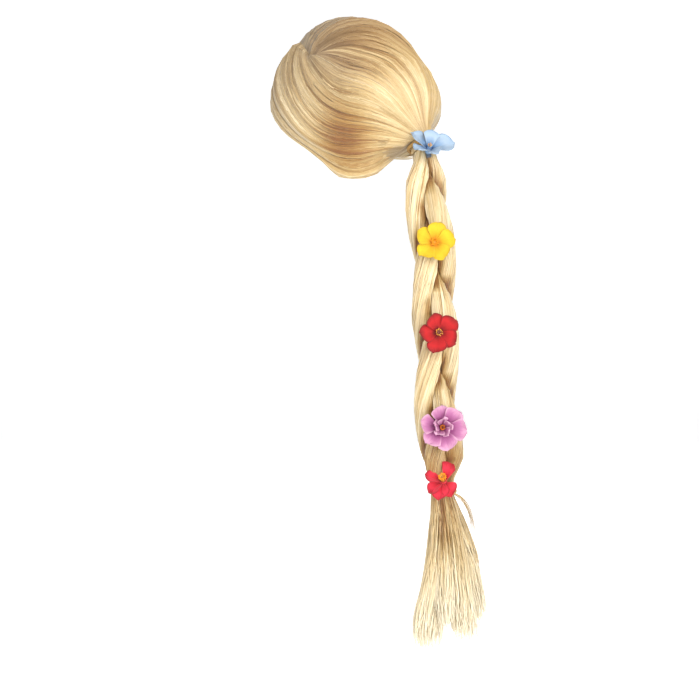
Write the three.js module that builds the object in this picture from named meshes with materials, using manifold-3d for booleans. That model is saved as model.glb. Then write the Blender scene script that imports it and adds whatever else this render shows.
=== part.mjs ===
// A blonde costume wig: hair combed back over a net cap from a side parting, one long loose plait
// and five cloth flowers. Millimetres, +Z up, the face towards -Y, the wearer's left towards +X.
// The origin is the inside top of the cap, where the crown of a head meets it.

import * as THREE from "three";
import { mergeVertices } from "three/addons/utils/BufferGeometryUtils.js";
import Module from "manifold-3d";

const wasm = await Module();
wasm.setup();

const vector = (x, y, z) => new THREE.Vector3(x, y, z);
const { lerp, smoothstep, degToRad, radToDeg, clamp } = THREE.MathUtils;

// Driving dimensions

const gap = 0.35; // clear space between pieces that touch
const weld = 1e-3; // corners closer than this are one corner
const search = { near: 5, far: 320, halvings: 40 }; // where a line from inside the head meets a surface

// The head that the cap fits, 538 mm round, and its neck
const head = {
  halfWidth: 75,
  halfLength: 95,
  halfHeight: 100,
  neckRadius: 47,
  neckBack: 17,
  neckTop: -120,
  neckFoot: -260,
  blend: 24,
};

const cap = { wall: 1.6, columns: 28, rows: 8, firstDrop: 20, dropStep: 0.5 };

// Edge of the cap: turn is the angle from the face round to the nape, up is the height of the edge
const capEdge = [
  { turn: 0, up: -36 },
  { turn: 40, up: -62 },
  { turn: 65, up: -98 },
  { turn: 95, up: -128 },
  { turn: 130, up: -150 },
  { turn: 180, up: -168 },
];

// Outer form of the combed hair: an egg over the head, a fall of hair behind it, a sleeve round the neck
// and a funnel to the band
const hair = {
  clear: 2.8,
  halfWidth: 91,
  halfLength: 110,
  halfHeight: 101,
  left: 3,
  back: 3,
  up: -93,
  tilt: 6,
  fallHalfWidth: 74,
  fallHalfLength: 50,
  fallHalfHeight: 48,
  fallBack: 77,
  fallUp: -111,
  sleeveTop: -120,
  sleeveTopRadius: 80,
  sleeveFoot: -216,
  sleeveFootRadius: 52,
  sleeveBack: 22,
  funnelBack: 70,
  funnelUp: -118,
  funnelRadius: 62,
  blend: 18,
  edgeShare: 0.62,
  edgeLock: 0.14,
  partDepth: 3,
  partWidth: 0.07,
  reliefFade: 6,
};

// Hairline from the forehead to the nape. The locks that hang at the nape are longer on the left.
const hairline = [
  { aside: 0, back: -100, leftUp: -42, rightUp: -42 },
  { aside: 40, back: -95, leftUp: -65, rightUp: -65 },
  { aside: 62, back: -78, leftUp: -95, rightUp: -95 },
  { aside: 74, back: -50, leftUp: -127, rightUp: -125 },
  { aside: 76, back: -31, leftUp: -146, rightUp: -141 },
  { aside: 74, back: -2, leftUp: -169, rightUp: -152 },
  { aside: 66, back: 17, leftUp: -187, rightUp: -156 },
  { aside: 55, back: 38, leftUp: -208, rightUp: -160.5 },
  { aside: 40, back: 56, leftUp: -208, rightUp: -164 },
  { aside: 22, back: 64, leftUp: -200, rightUp: -166 },
  { aside: 9, back: 76, leftUp: -190, rightUp: -170.5 },
  { aside: 0, back: 88, leftUp: -180, rightUp: -180 },
];

// How the locks run from the parting to the band, as angles seen from the combing centre. The parting
// starts at the middle of the forehead and ends behind the left temple. Locks fall before they sweep back.
const comb = {
  centre: vector(0, 10, -150),
  partTurn: 2,
  crownTurn: 47,
  crownShare: 0.58,
  crowd: 1.8,
  turnFirst: 1.2,
  sag: 24,
  sagLate: 1.5,
  hug: 16,
  hugFade: 0.2,
  straight: 1.1,
  throatReach: 9,
  lineSteps: 80,
  splitReach: 40,
  splitGap: 0.3,
  crownRows: 11,
  gatherRows: 3,
};

// Locks of one side from the hairline up to the middle: share of the width and lift off the backing
const locks = [
  { share: 0.1, lift: 2.2 },
  { share: 0.13, lift: 3.4 },
  { share: 0.11, lift: 2.4 },
  { share: 0.14, lift: 3.6 },
  { share: 0.12, lift: 2.6 },
  { share: 0.15, lift: 3.2 },
  { share: 0.12, lift: 2.2 },
  { share: 0.13, lift: 2.8 },
];
const lockSteps = [0, 0.3, 0.7];

// The band at the nape and the throat of hair that it holds
const tie = {
  place: vector(0, 125, -174),
  lean: 17,
  radius: 13,
  wire: 2.2,
  above: 5,
  below: 8,
  wireSides: 5,
  sides: 18,
};

// Middle line of the plait below the band
const plaitLine = [
  { back: 132, up: -214 },
  { back: 141, up: -291 },
  { back: 147, up: -380 },
  { back: 148, up: -468 },
  { back: 153, up: -530 },
  { back: 157, up: -580 },
];

// Three strands cross in turn. The plait's broad face looks to the wearer's left and back.
const plait = {
  broadTurn: 45,
  tiedSpread: 7,
  spread: 14,
  depth: 9.5,
  tiedRadius: 6.5,
  halfWidth: 12.6,
  halfThick: 10.4,
  between: 2.1,
  settle: 0.1,
  firstTurn: 0.22,
  pitch: 354,
  strands: 3,
  sides: 10,
  steps: 38,
  seatStep: 0.002,
};

// Locks of the loose tail: where each tip goes aside, towards the broad face, and down, and its width
const tail = {
  headRadius: 12,
  headLength: 20,
  headSides: 16,
  tieDrop: 3.2,
  rootShare: 0.4,
  rootWidth: 0.5,
  plumpAt: 0.67,
  flatness: 0.8,
  tipTaper: 0.85,
  tipFade: 4,
  hangFan: 2.2,
  spreadFan: 0.9,
  sides: 7,
  steps: 7,
};
const tailLocks = [
  { aside: -33, out: 3, down: 172, width: 11 },
  { aside: -23, out: -9, down: 178, width: 12 },
  { aside: -5, out: 9, down: 148, width: 12 },
  { aside: 7, out: -6, down: 161, width: 13 },
  { aside: 17, out: 6, down: 168, width: 12 },
  { aside: 30, out: -2, down: 148, width: 10 },
];

// Cloth flowers. A petal row gives its turn round the flower, the angle at which it leaves the middle,
// the angle at its tip, and its size.
const flower = {
  cloth: 1,
  calyx: 4,
  calyxSides: 7,
  calyxRings: 4,
  petalRoot: 1.6,
  petalLength: 23,
  petalHalfWidth: 10.5,
  wedgeGap: 4,
  petalCup: 0.2,
  rootRound: 0.06,
  tipRound: 0.96,
  broadest: 1.3,
  columns: 3,
  rows: 4,
  stamenRadius: 3.2,
  stamenFoot: 0.7,
  stamenTop: 0.6,
  stamenHeight: 4.5,
  stamenSides: 7,
  clipLength: 24,
  clipWidth: 6,
  clipThick: 2,
};

const flowers = [
  {
    name: "flower_blue",
    colour: 0xb9d6ee,
    stamens: 0xe0a030,
    place: { up: -188, aside: 5 },
    clipLength: 12,
    facing: { aside: 0.2, up: 0.5, out: 0.85 },
    petals: [
      { turn: 8, rise: 28, tip: 5, size: 1.28 },
      { turn: 76, rise: 50, tip: 40, size: 0.95 },
      { turn: 144, rise: 38, tip: 15, size: 1.15 },
      { turn: 212, rise: 34, tip: 8, size: 1 },
      { turn: 288, rise: 40, tip: 15, size: 0.85 },
    ],
  },
  {
    name: "flower_yellow",
    colour: 0xffdc32,
    stamens: 0xf09010,
    place: { up: -296, aside: 0 },
    facing: { aside: 0, up: 0.05, out: 1 },
    petals: [
      { turn: 12, rise: 30, tip: 0, size: 1.02 },
      { turn: 80, rise: 30, tip: 5, size: 1 },
      { turn: 154, rise: 32, tip: 5, size: 1 },
      { turn: 228, rise: 32, tip: 5, size: 1.04 },
      { turn: 300, rise: 32, tip: 5, size: 1 },
    ],
  },
  {
    name: "flower_red",
    colour: 0xd82a30,
    stamens: 0xd9a441,
    place: { up: -398, aside: 0 },
    facing: { aside: 0, up: 0.05, out: 1 },
    petals: [
      { turn: 38, rise: 30, tip: 5, size: 1.04 },
      { turn: 112, rise: 36, tip: 12, size: 0.96 },
      { turn: 187, rise: 34, tip: 10, size: 0.98 },
      { turn: 260, rise: 32, tip: 5, size: 1.06 },
      { turn: 328, rise: 32, tip: 8, size: 1 },
    ],
  },
  {
    name: "flower_purple",
    colour: 0xcf7fc0,
    stamens: 0xc8862e,
    place: { up: -508, aside: 1 },
    facing: { aside: 0, up: 0.05, out: 1 },
    petals: [
      { turn: 97, rise: 30, tip: 2, size: 1.06 },
      { turn: 45, rise: 28, tip: 0, size: 1.16 },
      { turn: 168, rise: 30, tip: 2, size: 1.1 },
      { turn: 228, rise: 30, tip: 2, size: 1.1 },
      { turn: 288, rise: 28, tip: 0, size: 1.14 },
      { turn: 352, rise: 26, tip: -2, size: 1.22 },
    ],
    inner: [
      { turn: 20, rise: 64, tip: 52, size: 0.7 },
      { turn: 92, rise: 64, tip: 56, size: 0.72 },
      { turn: 164, rise: 64, tip: 52, size: 0.7 },
      { turn: 236, rise: 64, tip: 56, size: 0.72 },
      { turn: 308, rise: 64, tip: 52, size: 0.7 },
    ],
  },
  {
    name: "flower_red_low",
    colour: 0xe4384a,
    stamens: 0xe6a63c,
    place: { up: -571, aside: 0 },
    clipLength: 16,
    facing: { aside: -0.25, up: 0.75, out: 0.6 },
    petals: [
      { turn: 50, rise: 60, tip: 52, size: 1.05 },
      { turn: 180, rise: 38, tip: 14, size: 0.95 },
      { turn: 224, rise: 12, tip: -40, size: 0.95 },
      { turn: 268, rise: 12, tip: -45, size: 1 },
      { turn: 312, rise: 12, tip: -45, size: 0.9 },
    ],
  },
];

const looks = {
  cap: { color: 0xc9a877, roughness: 0.9, metalness: 0 },
  hair: { color: 0xe4c88f, roughness: 0.4, metalness: 0 },
  tie: { color: 0xb08a55, roughness: 0.8, metalness: 0 },
  clip: { color: 0xb9bcc0, roughness: 0.35, metalness: 1 },
};
const clothRoughness = 0.85;

// Tables and curves

function readTable(rows, column, value, at) {
  const last = rows.length - 1;
  let row = 0;
  while (row < last - 1 && at > rows[row + 1][column]) row += 1;
  const slope = (index) => {
    const before = rows[Math.max(index - 1, 0)];
    const after = rows[Math.min(index + 1, last)];
    return (after[value] - before[value]) / (after[column] - before[column]);
  };
  const from = rows[row];
  const to = rows[row + 1];
  const span = to[column] - from[column];
  const t = clamp((at - from[column]) / span, 0, 1);
  const start = from[value] * (1 + 2 * t) + slope(row) * span * t;
  const end = to[value] * (3 - 2 * t) + slope(row + 1) * span * (t - 1);
  return start * (1 - t) * (1 - t) + end * t * t;
}

// Closed meshes

class Facets {
  corners = [];

  triangle(a, b, c) {
    const shortest = Math.min(a.distanceTo(b), b.distanceTo(c), c.distanceTo(a));
    if (shortest > weld) this.corners.push(a, b, c);
  }

  quad(a, b, c, d) {
    this.triangle(a, b, c);
    this.triangle(a, c, d);
  }

  strip(first, second) {
    for (let i = 0; i + 1 < first.length; i += 1) {
      this.quad(first[i], first[i + 1], second[i + 1], second[i]);
    }
  }

  sheet(rows) {
    for (let i = 0; i + 1 < rows.length; i += 1) this.strip(rows[i], rows[i + 1]);
  }

  fan(ring, middle) {
    for (let i = 0; i + 1 < ring.length; i += 1) this.triangle(ring[i], ring[i + 1], middle);
  }

  geometry() {
    let volume = 0;
    for (let i = 0; i < this.corners.length; i += 3) {
      const [a, b, c] = this.corners.slice(i, i + 3);
      volume += a.dot(b.clone().cross(c));
    }
    if (volume < 0) this.corners.reverse();
    const mesh = new THREE.BufferGeometry().setFromPoints(this.corners);
    return mergeVertices(mesh, weld);
  }
}

const backwards = (rows) => rows.map((row) => [...row].reverse());
const edgeOf = (rows, index) => rows.map((row) => row.at(index));

// A tube of closed rings with flat ends
function tubeOf(rings) {
  const facets = new Facets();
  const closed = rings.map((ring) => [...ring, ring[0]]);
  const total = (ring) => ring.reduce((sum, point) => sum.add(point), vector(0, 0, 0));
  const middle = (ring) => total(ring).divideScalar(ring.length);
  facets.sheet(closed);
  facets.fan([...closed[0]].reverse(), middle(rings[0]));
  facets.fan(closed.at(-1), middle(rings.at(-1)));
  return facets.geometry();
}

function toSolid(geometry) {
  const bare = geometry.clone();
  bare.deleteAttribute("normal");
  bare.deleteAttribute("uv");
  const merged = mergeVertices(bare, weld);
  const mesh = new wasm.Mesh({
    numProp: 3,
    vertProperties: merged.getAttribute("position").array,
    triVerts: Uint32Array.from(merged.getIndex().array),
  });
  return new wasm.Manifold(mesh);
}

function fuse(geometries) {
  const solid = geometries.map(toSolid).reduce((sum, piece) => sum.add(piece));
  const mesh = solid.getMesh();
  const joined = new THREE.BufferGeometry();
  joined.setAttribute("position", new THREE.BufferAttribute(mesh.vertProperties, 3));
  joined.setIndex(new THREE.BufferAttribute(mesh.triVerts, 1));
  return joined;
}

// Distance fields of the head and the hair over it

function eggField(point, middle, radii, tilt = 0) {
  const scaled = point.clone().sub(middle).applyAxisAngle(vector(1, 0, 0), degToRad(tilt)).divide(radii);
  const reach = scaled.length();
  return (reach * (reach - 1)) / scaled.divide(radii).length();
}

function coneField(point, from, to, fromRadius, toRadius) {
  const line = to.clone().sub(from);
  const t = clamp(point.clone().sub(from).dot(line) / line.lengthSq(), 0, 1);
  const nearest = from.clone().addScaledVector(line, t);
  return point.distanceTo(nearest) - lerp(fromRadius, toRadius, t);
}

function blendFields(a, b, width) {
  const share = clamp(0.5 + (0.5 * (b - a)) / width, 0, 1);
  return lerp(b, a, share) - width * share * (1 - share);
}

const headRadii = vector(head.halfWidth, head.halfLength, head.halfHeight);
const headMiddle = vector(0, 0, -head.halfHeight);
const neckTop = vector(0, head.neckBack, head.neckTop);
const neckFoot = vector(0, head.neckBack, head.neckFoot);

function headField(point) {
  const skull = eggField(point, headMiddle, headRadii);
  const neck = coneField(point, neckTop, neckFoot, head.neckRadius, head.neckRadius);
  return blendFields(skull, neck, head.blend);
}

const hairRadii = vector(hair.halfWidth, hair.halfLength, hair.halfHeight);
const hairMiddle = vector(hair.left, hair.back, hair.up);
const fallRadii = vector(hair.fallHalfWidth, hair.fallHalfLength, hair.fallHalfHeight);
const fallMiddle = vector(0, hair.fallBack, hair.fallUp);
const sleeveTop = vector(0, hair.sleeveBack, hair.sleeveTop);
const sleeveFoot = vector(0, hair.sleeveBack, hair.sleeveFoot);
const funnelStart = vector(0, hair.funnelBack, hair.funnelUp);

function hairField(point) {
  const egg = eggField(point, hairMiddle, hairRadii, hair.tilt);
  const fall = eggField(point, fallMiddle, fallRadii);
  const sleeve = coneField(point, sleeveTop, sleeveFoot, hair.sleeveTopRadius, hair.sleeveFootRadius);
  const funnel = coneField(point, funnelStart, tie.place, hair.funnelRadius, tie.radius);
  return [fall, sleeve, funnel].reduce((sum, field) => blendFields(sum, field, hair.blend), egg);
}

// How far from a point inside, in one direction, a field reaches a level
function reachOf(field, from, direction, level) {
  let { near, far } = search;
  for (let step = 0; step < search.halvings; step += 1) {
    const middle = (near + far) / 2;
    const here = field(from.clone().addScaledVector(direction, middle));
    if (here < level) near = middle;
    else far = middle;
  }
  return near;
}

// Cap

function capGeometry() {
  const centre = headMiddle;
  const edgeUp = (turn) => readTable(capEdge, "turn", "up", turn > 180 ? 360 - turn : turn);
  const point = (turn, drop, offset) => {
    const round = degToRad(turn);
    const down = degToRad(drop);
    const level = Math.sin(down);
    const direction = vector(Math.sin(round) * level, -Math.cos(round) * level, Math.cos(down));
    return centre.clone().addScaledVector(direction, reachOf(headField, centre, direction, offset));
  };
  const edgeDrop = (turn) => {
    let drop = cap.firstDrop;
    while (point(turn, drop, 0).z > edgeUp(turn)) drop += cap.dropStep;
    return drop;
  };
  const turns = Array.from({ length: cap.columns + 1 }, (_, i) => (360 * i) / cap.columns);
  const drops = turns.map(edgeDrop);
  const shell = (offset) =>
    Array.from({ length: cap.rows + 1 }, (_, row) =>
      turns.map((turn, i) => point(turn, (drops[i] * row) / cap.rows, offset)),
    );
  const outer = shell(cap.wall);
  const inner = shell(0);
  const facets = new Facets();
  facets.sheet(outer);
  facets.sheet(backwards(inner));
  facets.strip(outer.at(-1), inner.at(-1));
  return facets.geometry();
}

// Hair combed over the cap

const tieAxis = vector(0, Math.sin(degToRad(tie.lean)), -Math.cos(degToRad(tie.lean)));
const combAxis = tie.place.clone().sub(comb.centre).normalize();
const combUp = vector(0, -combAxis.z, combAxis.y);
const combLeft = vector(1, 0, 0);

function hairlineAngles(height) {
  return hairline.map((row) => {
    const direction = vector(row.aside, row.back, row[height]).sub(comb.centre).normalize();
    const turn = radToDeg(Math.atan2(direction.dot(combLeft), direction.dot(combUp)));
    return { turn, reach: radToDeg(Math.acos(direction.dot(combAxis))) };
  });
}

const leftHairline = hairlineAngles("leftUp");
const rightHairline = hairlineAngles("rightUp");

// Angles from the combing centre. Lock 0 follows the hairline and 1 the middle of the head, and along
// runs from the parting to the band.
function combedAngles(side, lock, along) {
  const parted = lock ** comb.crowd / (lock ** comb.crowd + (1 - lock) ** comb.crowd);
  const startTurn = lerp(comb.partTurn, comb.crownTurn, parted);
  const endTurn = side * 180 * (1 - lock);
  const sag = side * comb.sag * 4 * lock * (1 - lock) * Math.sin(Math.PI * along ** comb.sagLate);
  const turn = lerp(startTurn, endTurn, 1 - (1 - along) ** comb.turnFirst) + sag;
  const edgeReach = readTable(turn > 0 ? leftHairline : rightHairline, "turn", "reach", Math.abs(turn));
  const hug = lerp(comb.hug, comb.straight, lock ** comb.hugFade);
  const share = lerp(1, comb.crownShare, parted) * (1 - along ** hug);
  return { turn, reach: lerp(comb.throatReach, edgeReach, share) };
}

function combedDirection(side, lock, along) {
  const { turn, reach } = combedAngles(side, lock, along);
  const away = degToRad(reach);
  const round = degToRad(turn);
  return combAxis
    .clone()
    .multiplyScalar(Math.cos(away))
    .addScaledVector(combUp, Math.sin(away) * Math.cos(round))
    .addScaledVector(combLeft, Math.sin(away) * Math.sin(round));
}

// Where a line of hair comes within an angle of the band
function alongAt({ side, lock }, reach) {
  let before = 0;
  let after = 1;
  for (let step = 0; step < search.halvings; step += 1) {
    const middle = (before + after) / 2;
    if (combedAngles(side, lock, middle).reach > reach) before = middle;
    else after = middle;
  }
  return before;
}

const lockTotal = locks.reduce((sum, { share }) => sum + share, 0);

// Columns of one side: where each lies across the locks, and its lift
const sideColumns = [];
let lockStart = 0;
for (const { share, lift } of locks) {
  for (const step of lockSteps) {
    sideColumns.push({ lock: (lockStart + share * step) / lockTotal, lift: lift * Math.sin(Math.PI * step) });
  }
  lockStart += share;
}
sideColumns.push({ lock: 1, lift: 0 });

const hairColumns = [
  ...sideColumns.map((column) => ({ ...column, side: 1 })),
  ...sideColumns.slice(0, -1).reverse().map((column) => ({ ...column, side: -1 })),
];

function hairPoint({ side, lock, lift }, along, onBacking) {
  const direction = combedDirection(side, lock, along);
  const backing = reachOf(headField, comb.centre, direction, cap.wall + hair.clear);
  if (onBacking) return comb.centre.clone().addScaledVector(direction, backing);
  const outside = reachOf(hairField, comb.centre, direction, 0);
  const edge = lerp(hair.edgeShare, 1, smoothstep(lock, 0, hair.edgeLock));
  const freed = smoothstep(along, 0, hair.partWidth);
  const relief = lift * freed * (1 - along ** hair.reliefFade) - hair.partDepth * (1 - freed);
  return comb.centre.clone().addScaledVector(direction, lerp(backing, outside, edge) + relief);
}

// Shares of a column's line, from one to another, that lie evenly along it
function evenShares({ side, lock }, from, to, count) {
  const fine = (_, step) => lerp(from, to, step / comb.lineSteps);
  const shares = Array.from({ length: comb.lineSteps + 1 }, fine);
  const directions = shares.map((share) => combedDirection(side, lock, share));
  const runs = [0];
  for (let step = 1; step <= comb.lineSteps; step += 1) {
    runs.push(runs[step - 1] + directions[step].angleTo(directions[step - 1]));
  }
  return Array.from({ length: count + 1 }, (_, row) => {
    const run = (runs.at(-1) * row) / count;
    const after = clamp(runs.findIndex((reached) => reached >= run), 1, comb.lineSteps);
    const part = (run - runs[after - 1]) / (runs[after] - runs[after - 1]);
    return row === count ? to : lerp(shares[after - 1], shares[after], part);
  });
}

// Rows of points across every column, from one share of its line to another
function hairRows(from, to, count, onBacking) {
  const lines = hairColumns.map((column) =>
    evenShares(column, from(column), to(column), count).map((share) => hairPoint(column, share, onBacking)),
  );
  return Array.from({ length: count + 1 }, (_, row) => lines.map((line) => line[row]));
}

const atParting = () => 0;
const atBand = () => 1;
const atCrownEnd = (column) => alongAt(column, comb.splitReach + comb.splitGap);
const atGatherStart = (column) => alongAt(column, comb.splitReach - comb.splitGap);

// The combed shell: its two sides meet along the parting, and it ends where the gather begins
function crownGeometry() {
  const outer = hairRows(atParting, atCrownEnd, comb.crownRows, false);
  const inner = hairRows(atParting, atCrownEnd, comb.crownRows, true);
  const facets = new Facets();
  facets.sheet(outer);
  facets.sheet(backwards(inner));
  facets.strip(outer.at(-1), inner.at(-1));
  facets.strip(edgeOf(outer, 0), edgeOf(inner, 0));
  facets.strip(edgeOf(inner, -1), edgeOf(outer, -1));
  return facets.geometry();
}

function throatRing(radius, shift) {
  const ringUp = vector(0, -tieAxis.z, tieAxis.y);
  return hairColumns.map(({ side, lock }) => {
    const round = degToRad(side * 180 * (1 - lock));
    return tie.place
      .clone()
      .addScaledVector(tieAxis, shift)
      .addScaledVector(ringUp, radius * Math.cos(round))
      .addScaledVector(combLeft, radius * Math.sin(round));
  });
}

// The bundle behind the head: from the crown's end into the throat that the band holds
function gatherGeometry() {
  const outer = hairRows(atGatherStart, atBand, comb.gatherRows, false);
  const inner = hairRows(atGatherStart, atBand, comb.gatherRows, true);
  const throat = [throatRing(tie.radius, -tie.above), throatRing(tie.radius, tie.below)];
  const facets = new Facets();
  facets.sheet([...outer, ...throat]);
  facets.fan(throat[1], tie.place.clone().addScaledVector(tieAxis, tie.below));
  facets.sheet(backwards(inner));
  const pole = reachOf(headField, comb.centre, combAxis, cap.wall + hair.clear);
  facets.fan([...inner.at(-1)].reverse(), comb.centre.clone().addScaledVector(combAxis, pole));
  facets.strip(inner[0], outer[0]);
  facets.strip(edgeOf(outer, 0), edgeOf(inner, 0));
  facets.strip(edgeOf(inner, -1), edgeOf(outer, -1));
  return facets.geometry();
}

// Plait

const plaitTop = tie.place.clone().addScaledVector(tieAxis, tie.below + gap);
const plaitCurve = new THREE.CatmullRomCurve3([
  plaitTop,
  ...plaitLine.map(({ back, up }) => vector(0, back, up)),
]);
const plaitLength = plaitCurve.getLength();
const broad = degToRad(plait.broadTurn);
const broadFace = vector(Math.sin(broad), Math.cos(broad), 0);

// Axes across the plait at a share of its length: aside, along and out of its broad face
function plaitFrame(share) {
  const settled = smoothstep(share, 0, plait.settle);
  const along = tieAxis.clone().lerp(plaitCurve.getTangentAt(share), settled).normalize();
  const out = broadFace.clone().addScaledVector(along, -broadFace.dot(along)).normalize();
  const aside = out.clone().cross(along);
  return { middle: plaitCurve.getPointAt(share), along, out, aside };
}

// Middle and half sizes of one strand's section, across the plait
function strandSection(index, share) {
  const open = smoothstep(share, 0, plait.settle) * smoothstep(1 - share, 0, plait.settle);
  const turn = 2 * Math.PI * (plait.firstTurn + (share * plaitLength) / plait.pitch + index / plait.strands);
  return {
    aside: lerp(plait.tiedSpread, plait.spread, open) * Math.sin(turn),
    out: lerp(plait.tiedSpread, plait.depth, open) * Math.sin(2 * turn),
    halfWidth: lerp(plait.tiedRadius, plait.halfWidth, open),
    halfThick: lerp(plait.tiedRadius, plait.halfThick, open),
  };
}

// A strand is as plump as its half sizes, and flattened where it lies against the other two
function strandRadius(index, share, round) {
  const section = strandSection(index, share);
  let radius = 1 / Math.hypot(Math.cos(round) / section.halfWidth, Math.sin(round) / section.halfThick);
  for (let other = 0; other < plait.strands; other += 1) {
    if (other === index) continue;
    const next = strandSection(other, share);
    const distance = Math.hypot(next.aside - section.aside, next.out - section.out);
    const towards = Math.cos(round - Math.atan2(next.out - section.out, next.aside - section.aside));
    const room = (distance - plait.between) / 2;
    if (towards > 0) radius = Math.min(radius, room / towards);
  }
  return radius;
}

function strandGeometry(index) {
  const rings = [];
  for (let step = 0; step <= plait.steps; step += 1) {
    const share = step / plait.steps;
    const { middle, out, aside } = plaitFrame(share);
    const section = strandSection(index, share);
    const ring = [];
    for (let side = 0; side < plait.sides; side += 1) {
      const round = (2 * Math.PI * side) / plait.sides;
      const radius = strandRadius(index, share, round);
      ring.push(
        middle
          .clone()
          .addScaledVector(aside, section.aside + radius * Math.cos(round))
          .addScaledVector(out, section.out + radius * Math.sin(round)),
      );
    }
    rings.push(ring);
  }
  return tubeOf(rings);
}

// How far the strands reach out of the broad face over a short stretch round a place
function plaitFront(share, aside, halfLength, halfWidth) {
  const lengthSteps = 6;
  const roundSteps = 36;
  let front = 0;
  for (let step = -lengthSteps; step <= lengthSteps; step += 1) {
    const here = clamp(share + ((step / lengthSteps) * halfLength) / plaitLength, 0, 1);
    for (let index = 0; index < plait.strands; index += 1) {
      const section = strandSection(index, here);
      for (let turn = 0; turn < roundSteps; turn += 1) {
        const round = (Math.PI * turn) / roundSteps;
        const radius = strandRadius(index, here, round);
        const across = section.aside + radius * Math.cos(round) - aside;
        if (Math.abs(across) < halfWidth) front = Math.max(front, section.out + radius * Math.sin(round));
      }
    }
  }
  return front;
}

// Bands

function bandGeometry(holdRadius) {
  return new THREE.TorusGeometry(holdRadius + gap + tie.wire, tie.wire, tie.wireSides, tie.sides);
}

function facingTurn(direction) {
  return new THREE.Quaternion().setFromUnitVectors(vector(0, 0, 1), direction);
}

// Tail

const plaitEnd = plaitFrame(1);
const tailTop = plaitEnd.middle.clone().addScaledVector(plaitEnd.along, gap);

function tailLockGeometry({ aside, out, down, width }) {
  const rings = [];
  for (let step = 0; step <= tail.steps; step += 1) {
    const t = step / tail.steps;
    const fan = Math.sin((Math.PI / 2) * t ** (aside < 0 ? tail.hangFan : tail.spreadFan));
    const middle = tailTop
      .clone()
      .addScaledVector(plaitEnd.along, lerp(tail.headLength * tail.rootShare, down, t))
      .addScaledVector(plaitEnd.aside, aside * fan)
      .addScaledVector(plaitEnd.out, out * fan);
    const plump = Math.sin((Math.PI / 2) * Math.min(t / tail.plumpAt, 1));
    const radius = width * lerp(tail.rootWidth, 1, plump) * (1 - tail.tipTaper * t ** tail.tipFade);
    const ring = [];
    for (let side = 0; side < tail.sides; side += 1) {
      const round = (2 * Math.PI * side) / tail.sides;
      ring.push(
        middle
          .clone()
          .addScaledVector(plaitEnd.aside, radius * Math.cos(round))
          .addScaledVector(plaitEnd.out, tail.flatness * radius * Math.sin(round)),
      );
    }
    rings.push(ring);
  }
  return tubeOf(rings);
}

function tailGeometry() {
  const { headRadius, headLength, headSides } = tail;
  const headCore = new THREE.CylinderGeometry(headRadius, headRadius, headLength, headSides);
  headCore.applyQuaternion(new THREE.Quaternion().setFromUnitVectors(vector(0, 1, 0), plaitEnd.along));
  const coreMiddle = tailTop.clone().addScaledVector(plaitEnd.along, headLength / 2);
  headCore.translate(...coreMiddle);
  return fuse([headCore, ...tailLocks.map(tailLockGeometry)]);
}

// Flowers

function petalPoint({ turn, rise, tip, size, wedge }, across, along) {
  const length = flower.petalLength * size;
  const first = degToRad(rise);
  const last = degToRad(tip);
  const bend = (start, end) => length * (start * (along - along ** 2 / 2) + (end * along ** 2) / 2);
  const outwards = flower.petalRoot + bend(Math.cos(first), Math.cos(last));
  const round = Math.PI * lerp(flower.rootRound, flower.tipRound, along ** flower.broadest);
  const fullWidth = flower.petalHalfWidth * size * Math.sqrt(Math.sin(round));
  const halfWidth = Math.min(fullWidth, outwards * Math.tan(degToRad(wedge)));
  const height = flower.petalRoot + bend(Math.sin(first), Math.sin(last));
  const cup = flower.petalCup * halfWidth * across ** 2;
  const point = vector(outwards - cup * Math.sin(first), halfWidth * across, height + cup * Math.cos(first));
  return point.applyAxisAngle(vector(0, 0, 1), degToRad(turn));
}

// A petal as thick as its cloth
function petalGeometry(petal) {
  const small = 0.01;
  const side = (offset) =>
    Array.from({ length: flower.rows + 1 }, (_, row) =>
      Array.from({ length: flower.columns + 1 }, (_, column) => {
        const across = lerp(-1, 1, column / flower.columns);
        const along = row / flower.rows;
        const here = petalPoint(petal, across, along);
        const sideways = petalPoint(petal, across + small, along).sub(here);
        const onwards = petalPoint(petal, across, along + small).sub(here);
        return here.addScaledVector(onwards.cross(sideways).normalize(), offset);
      }),
    );
  const front = side(flower.cloth / 2);
  const back = side(-flower.cloth / 2);
  const facets = new Facets();
  facets.sheet(front);
  facets.sheet(backwards(back));
  facets.strip(back[0], front[0]);
  facets.strip(front.at(-1), back.at(-1));
  facets.strip(edgeOf(front, 0), edgeOf(back, 0));
  facets.strip(edgeOf(back, -1), edgeOf(front, -1));
  return facets.geometry();
}

// One whorl of petals, each in its share of the round
function whorl(petals) {
  const wedge = 180 / petals.length - flower.wedgeGap;
  return petals.map((petal) => petalGeometry({ ...petal, wedge }));
}

function petalsGeometry({ petals, inner = [] }) {
  const calyx = new THREE.SphereGeometry(flower.calyx, flower.calyxSides, flower.calyxRings);
  return fuse([calyx, ...whorl(petals), ...whorl(inner)]);
}

function stamenGeometry() {
  const foot = flower.calyx + gap;
  const profile = [
    new THREE.Vector2(0, foot),
    new THREE.Vector2(flower.stamenRadius * flower.stamenFoot, foot),
    new THREE.Vector2(flower.stamenRadius, foot + flower.stamenHeight * flower.stamenTop),
    new THREE.Vector2(flower.stamenRadius * flower.stamenTop, foot + flower.stamenHeight),
    new THREE.Vector2(0, foot + flower.stamenHeight),
  ];
  return new THREE.LatheGeometry(profile, flower.stamenSides).rotateX(Math.PI / 2);
}

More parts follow.
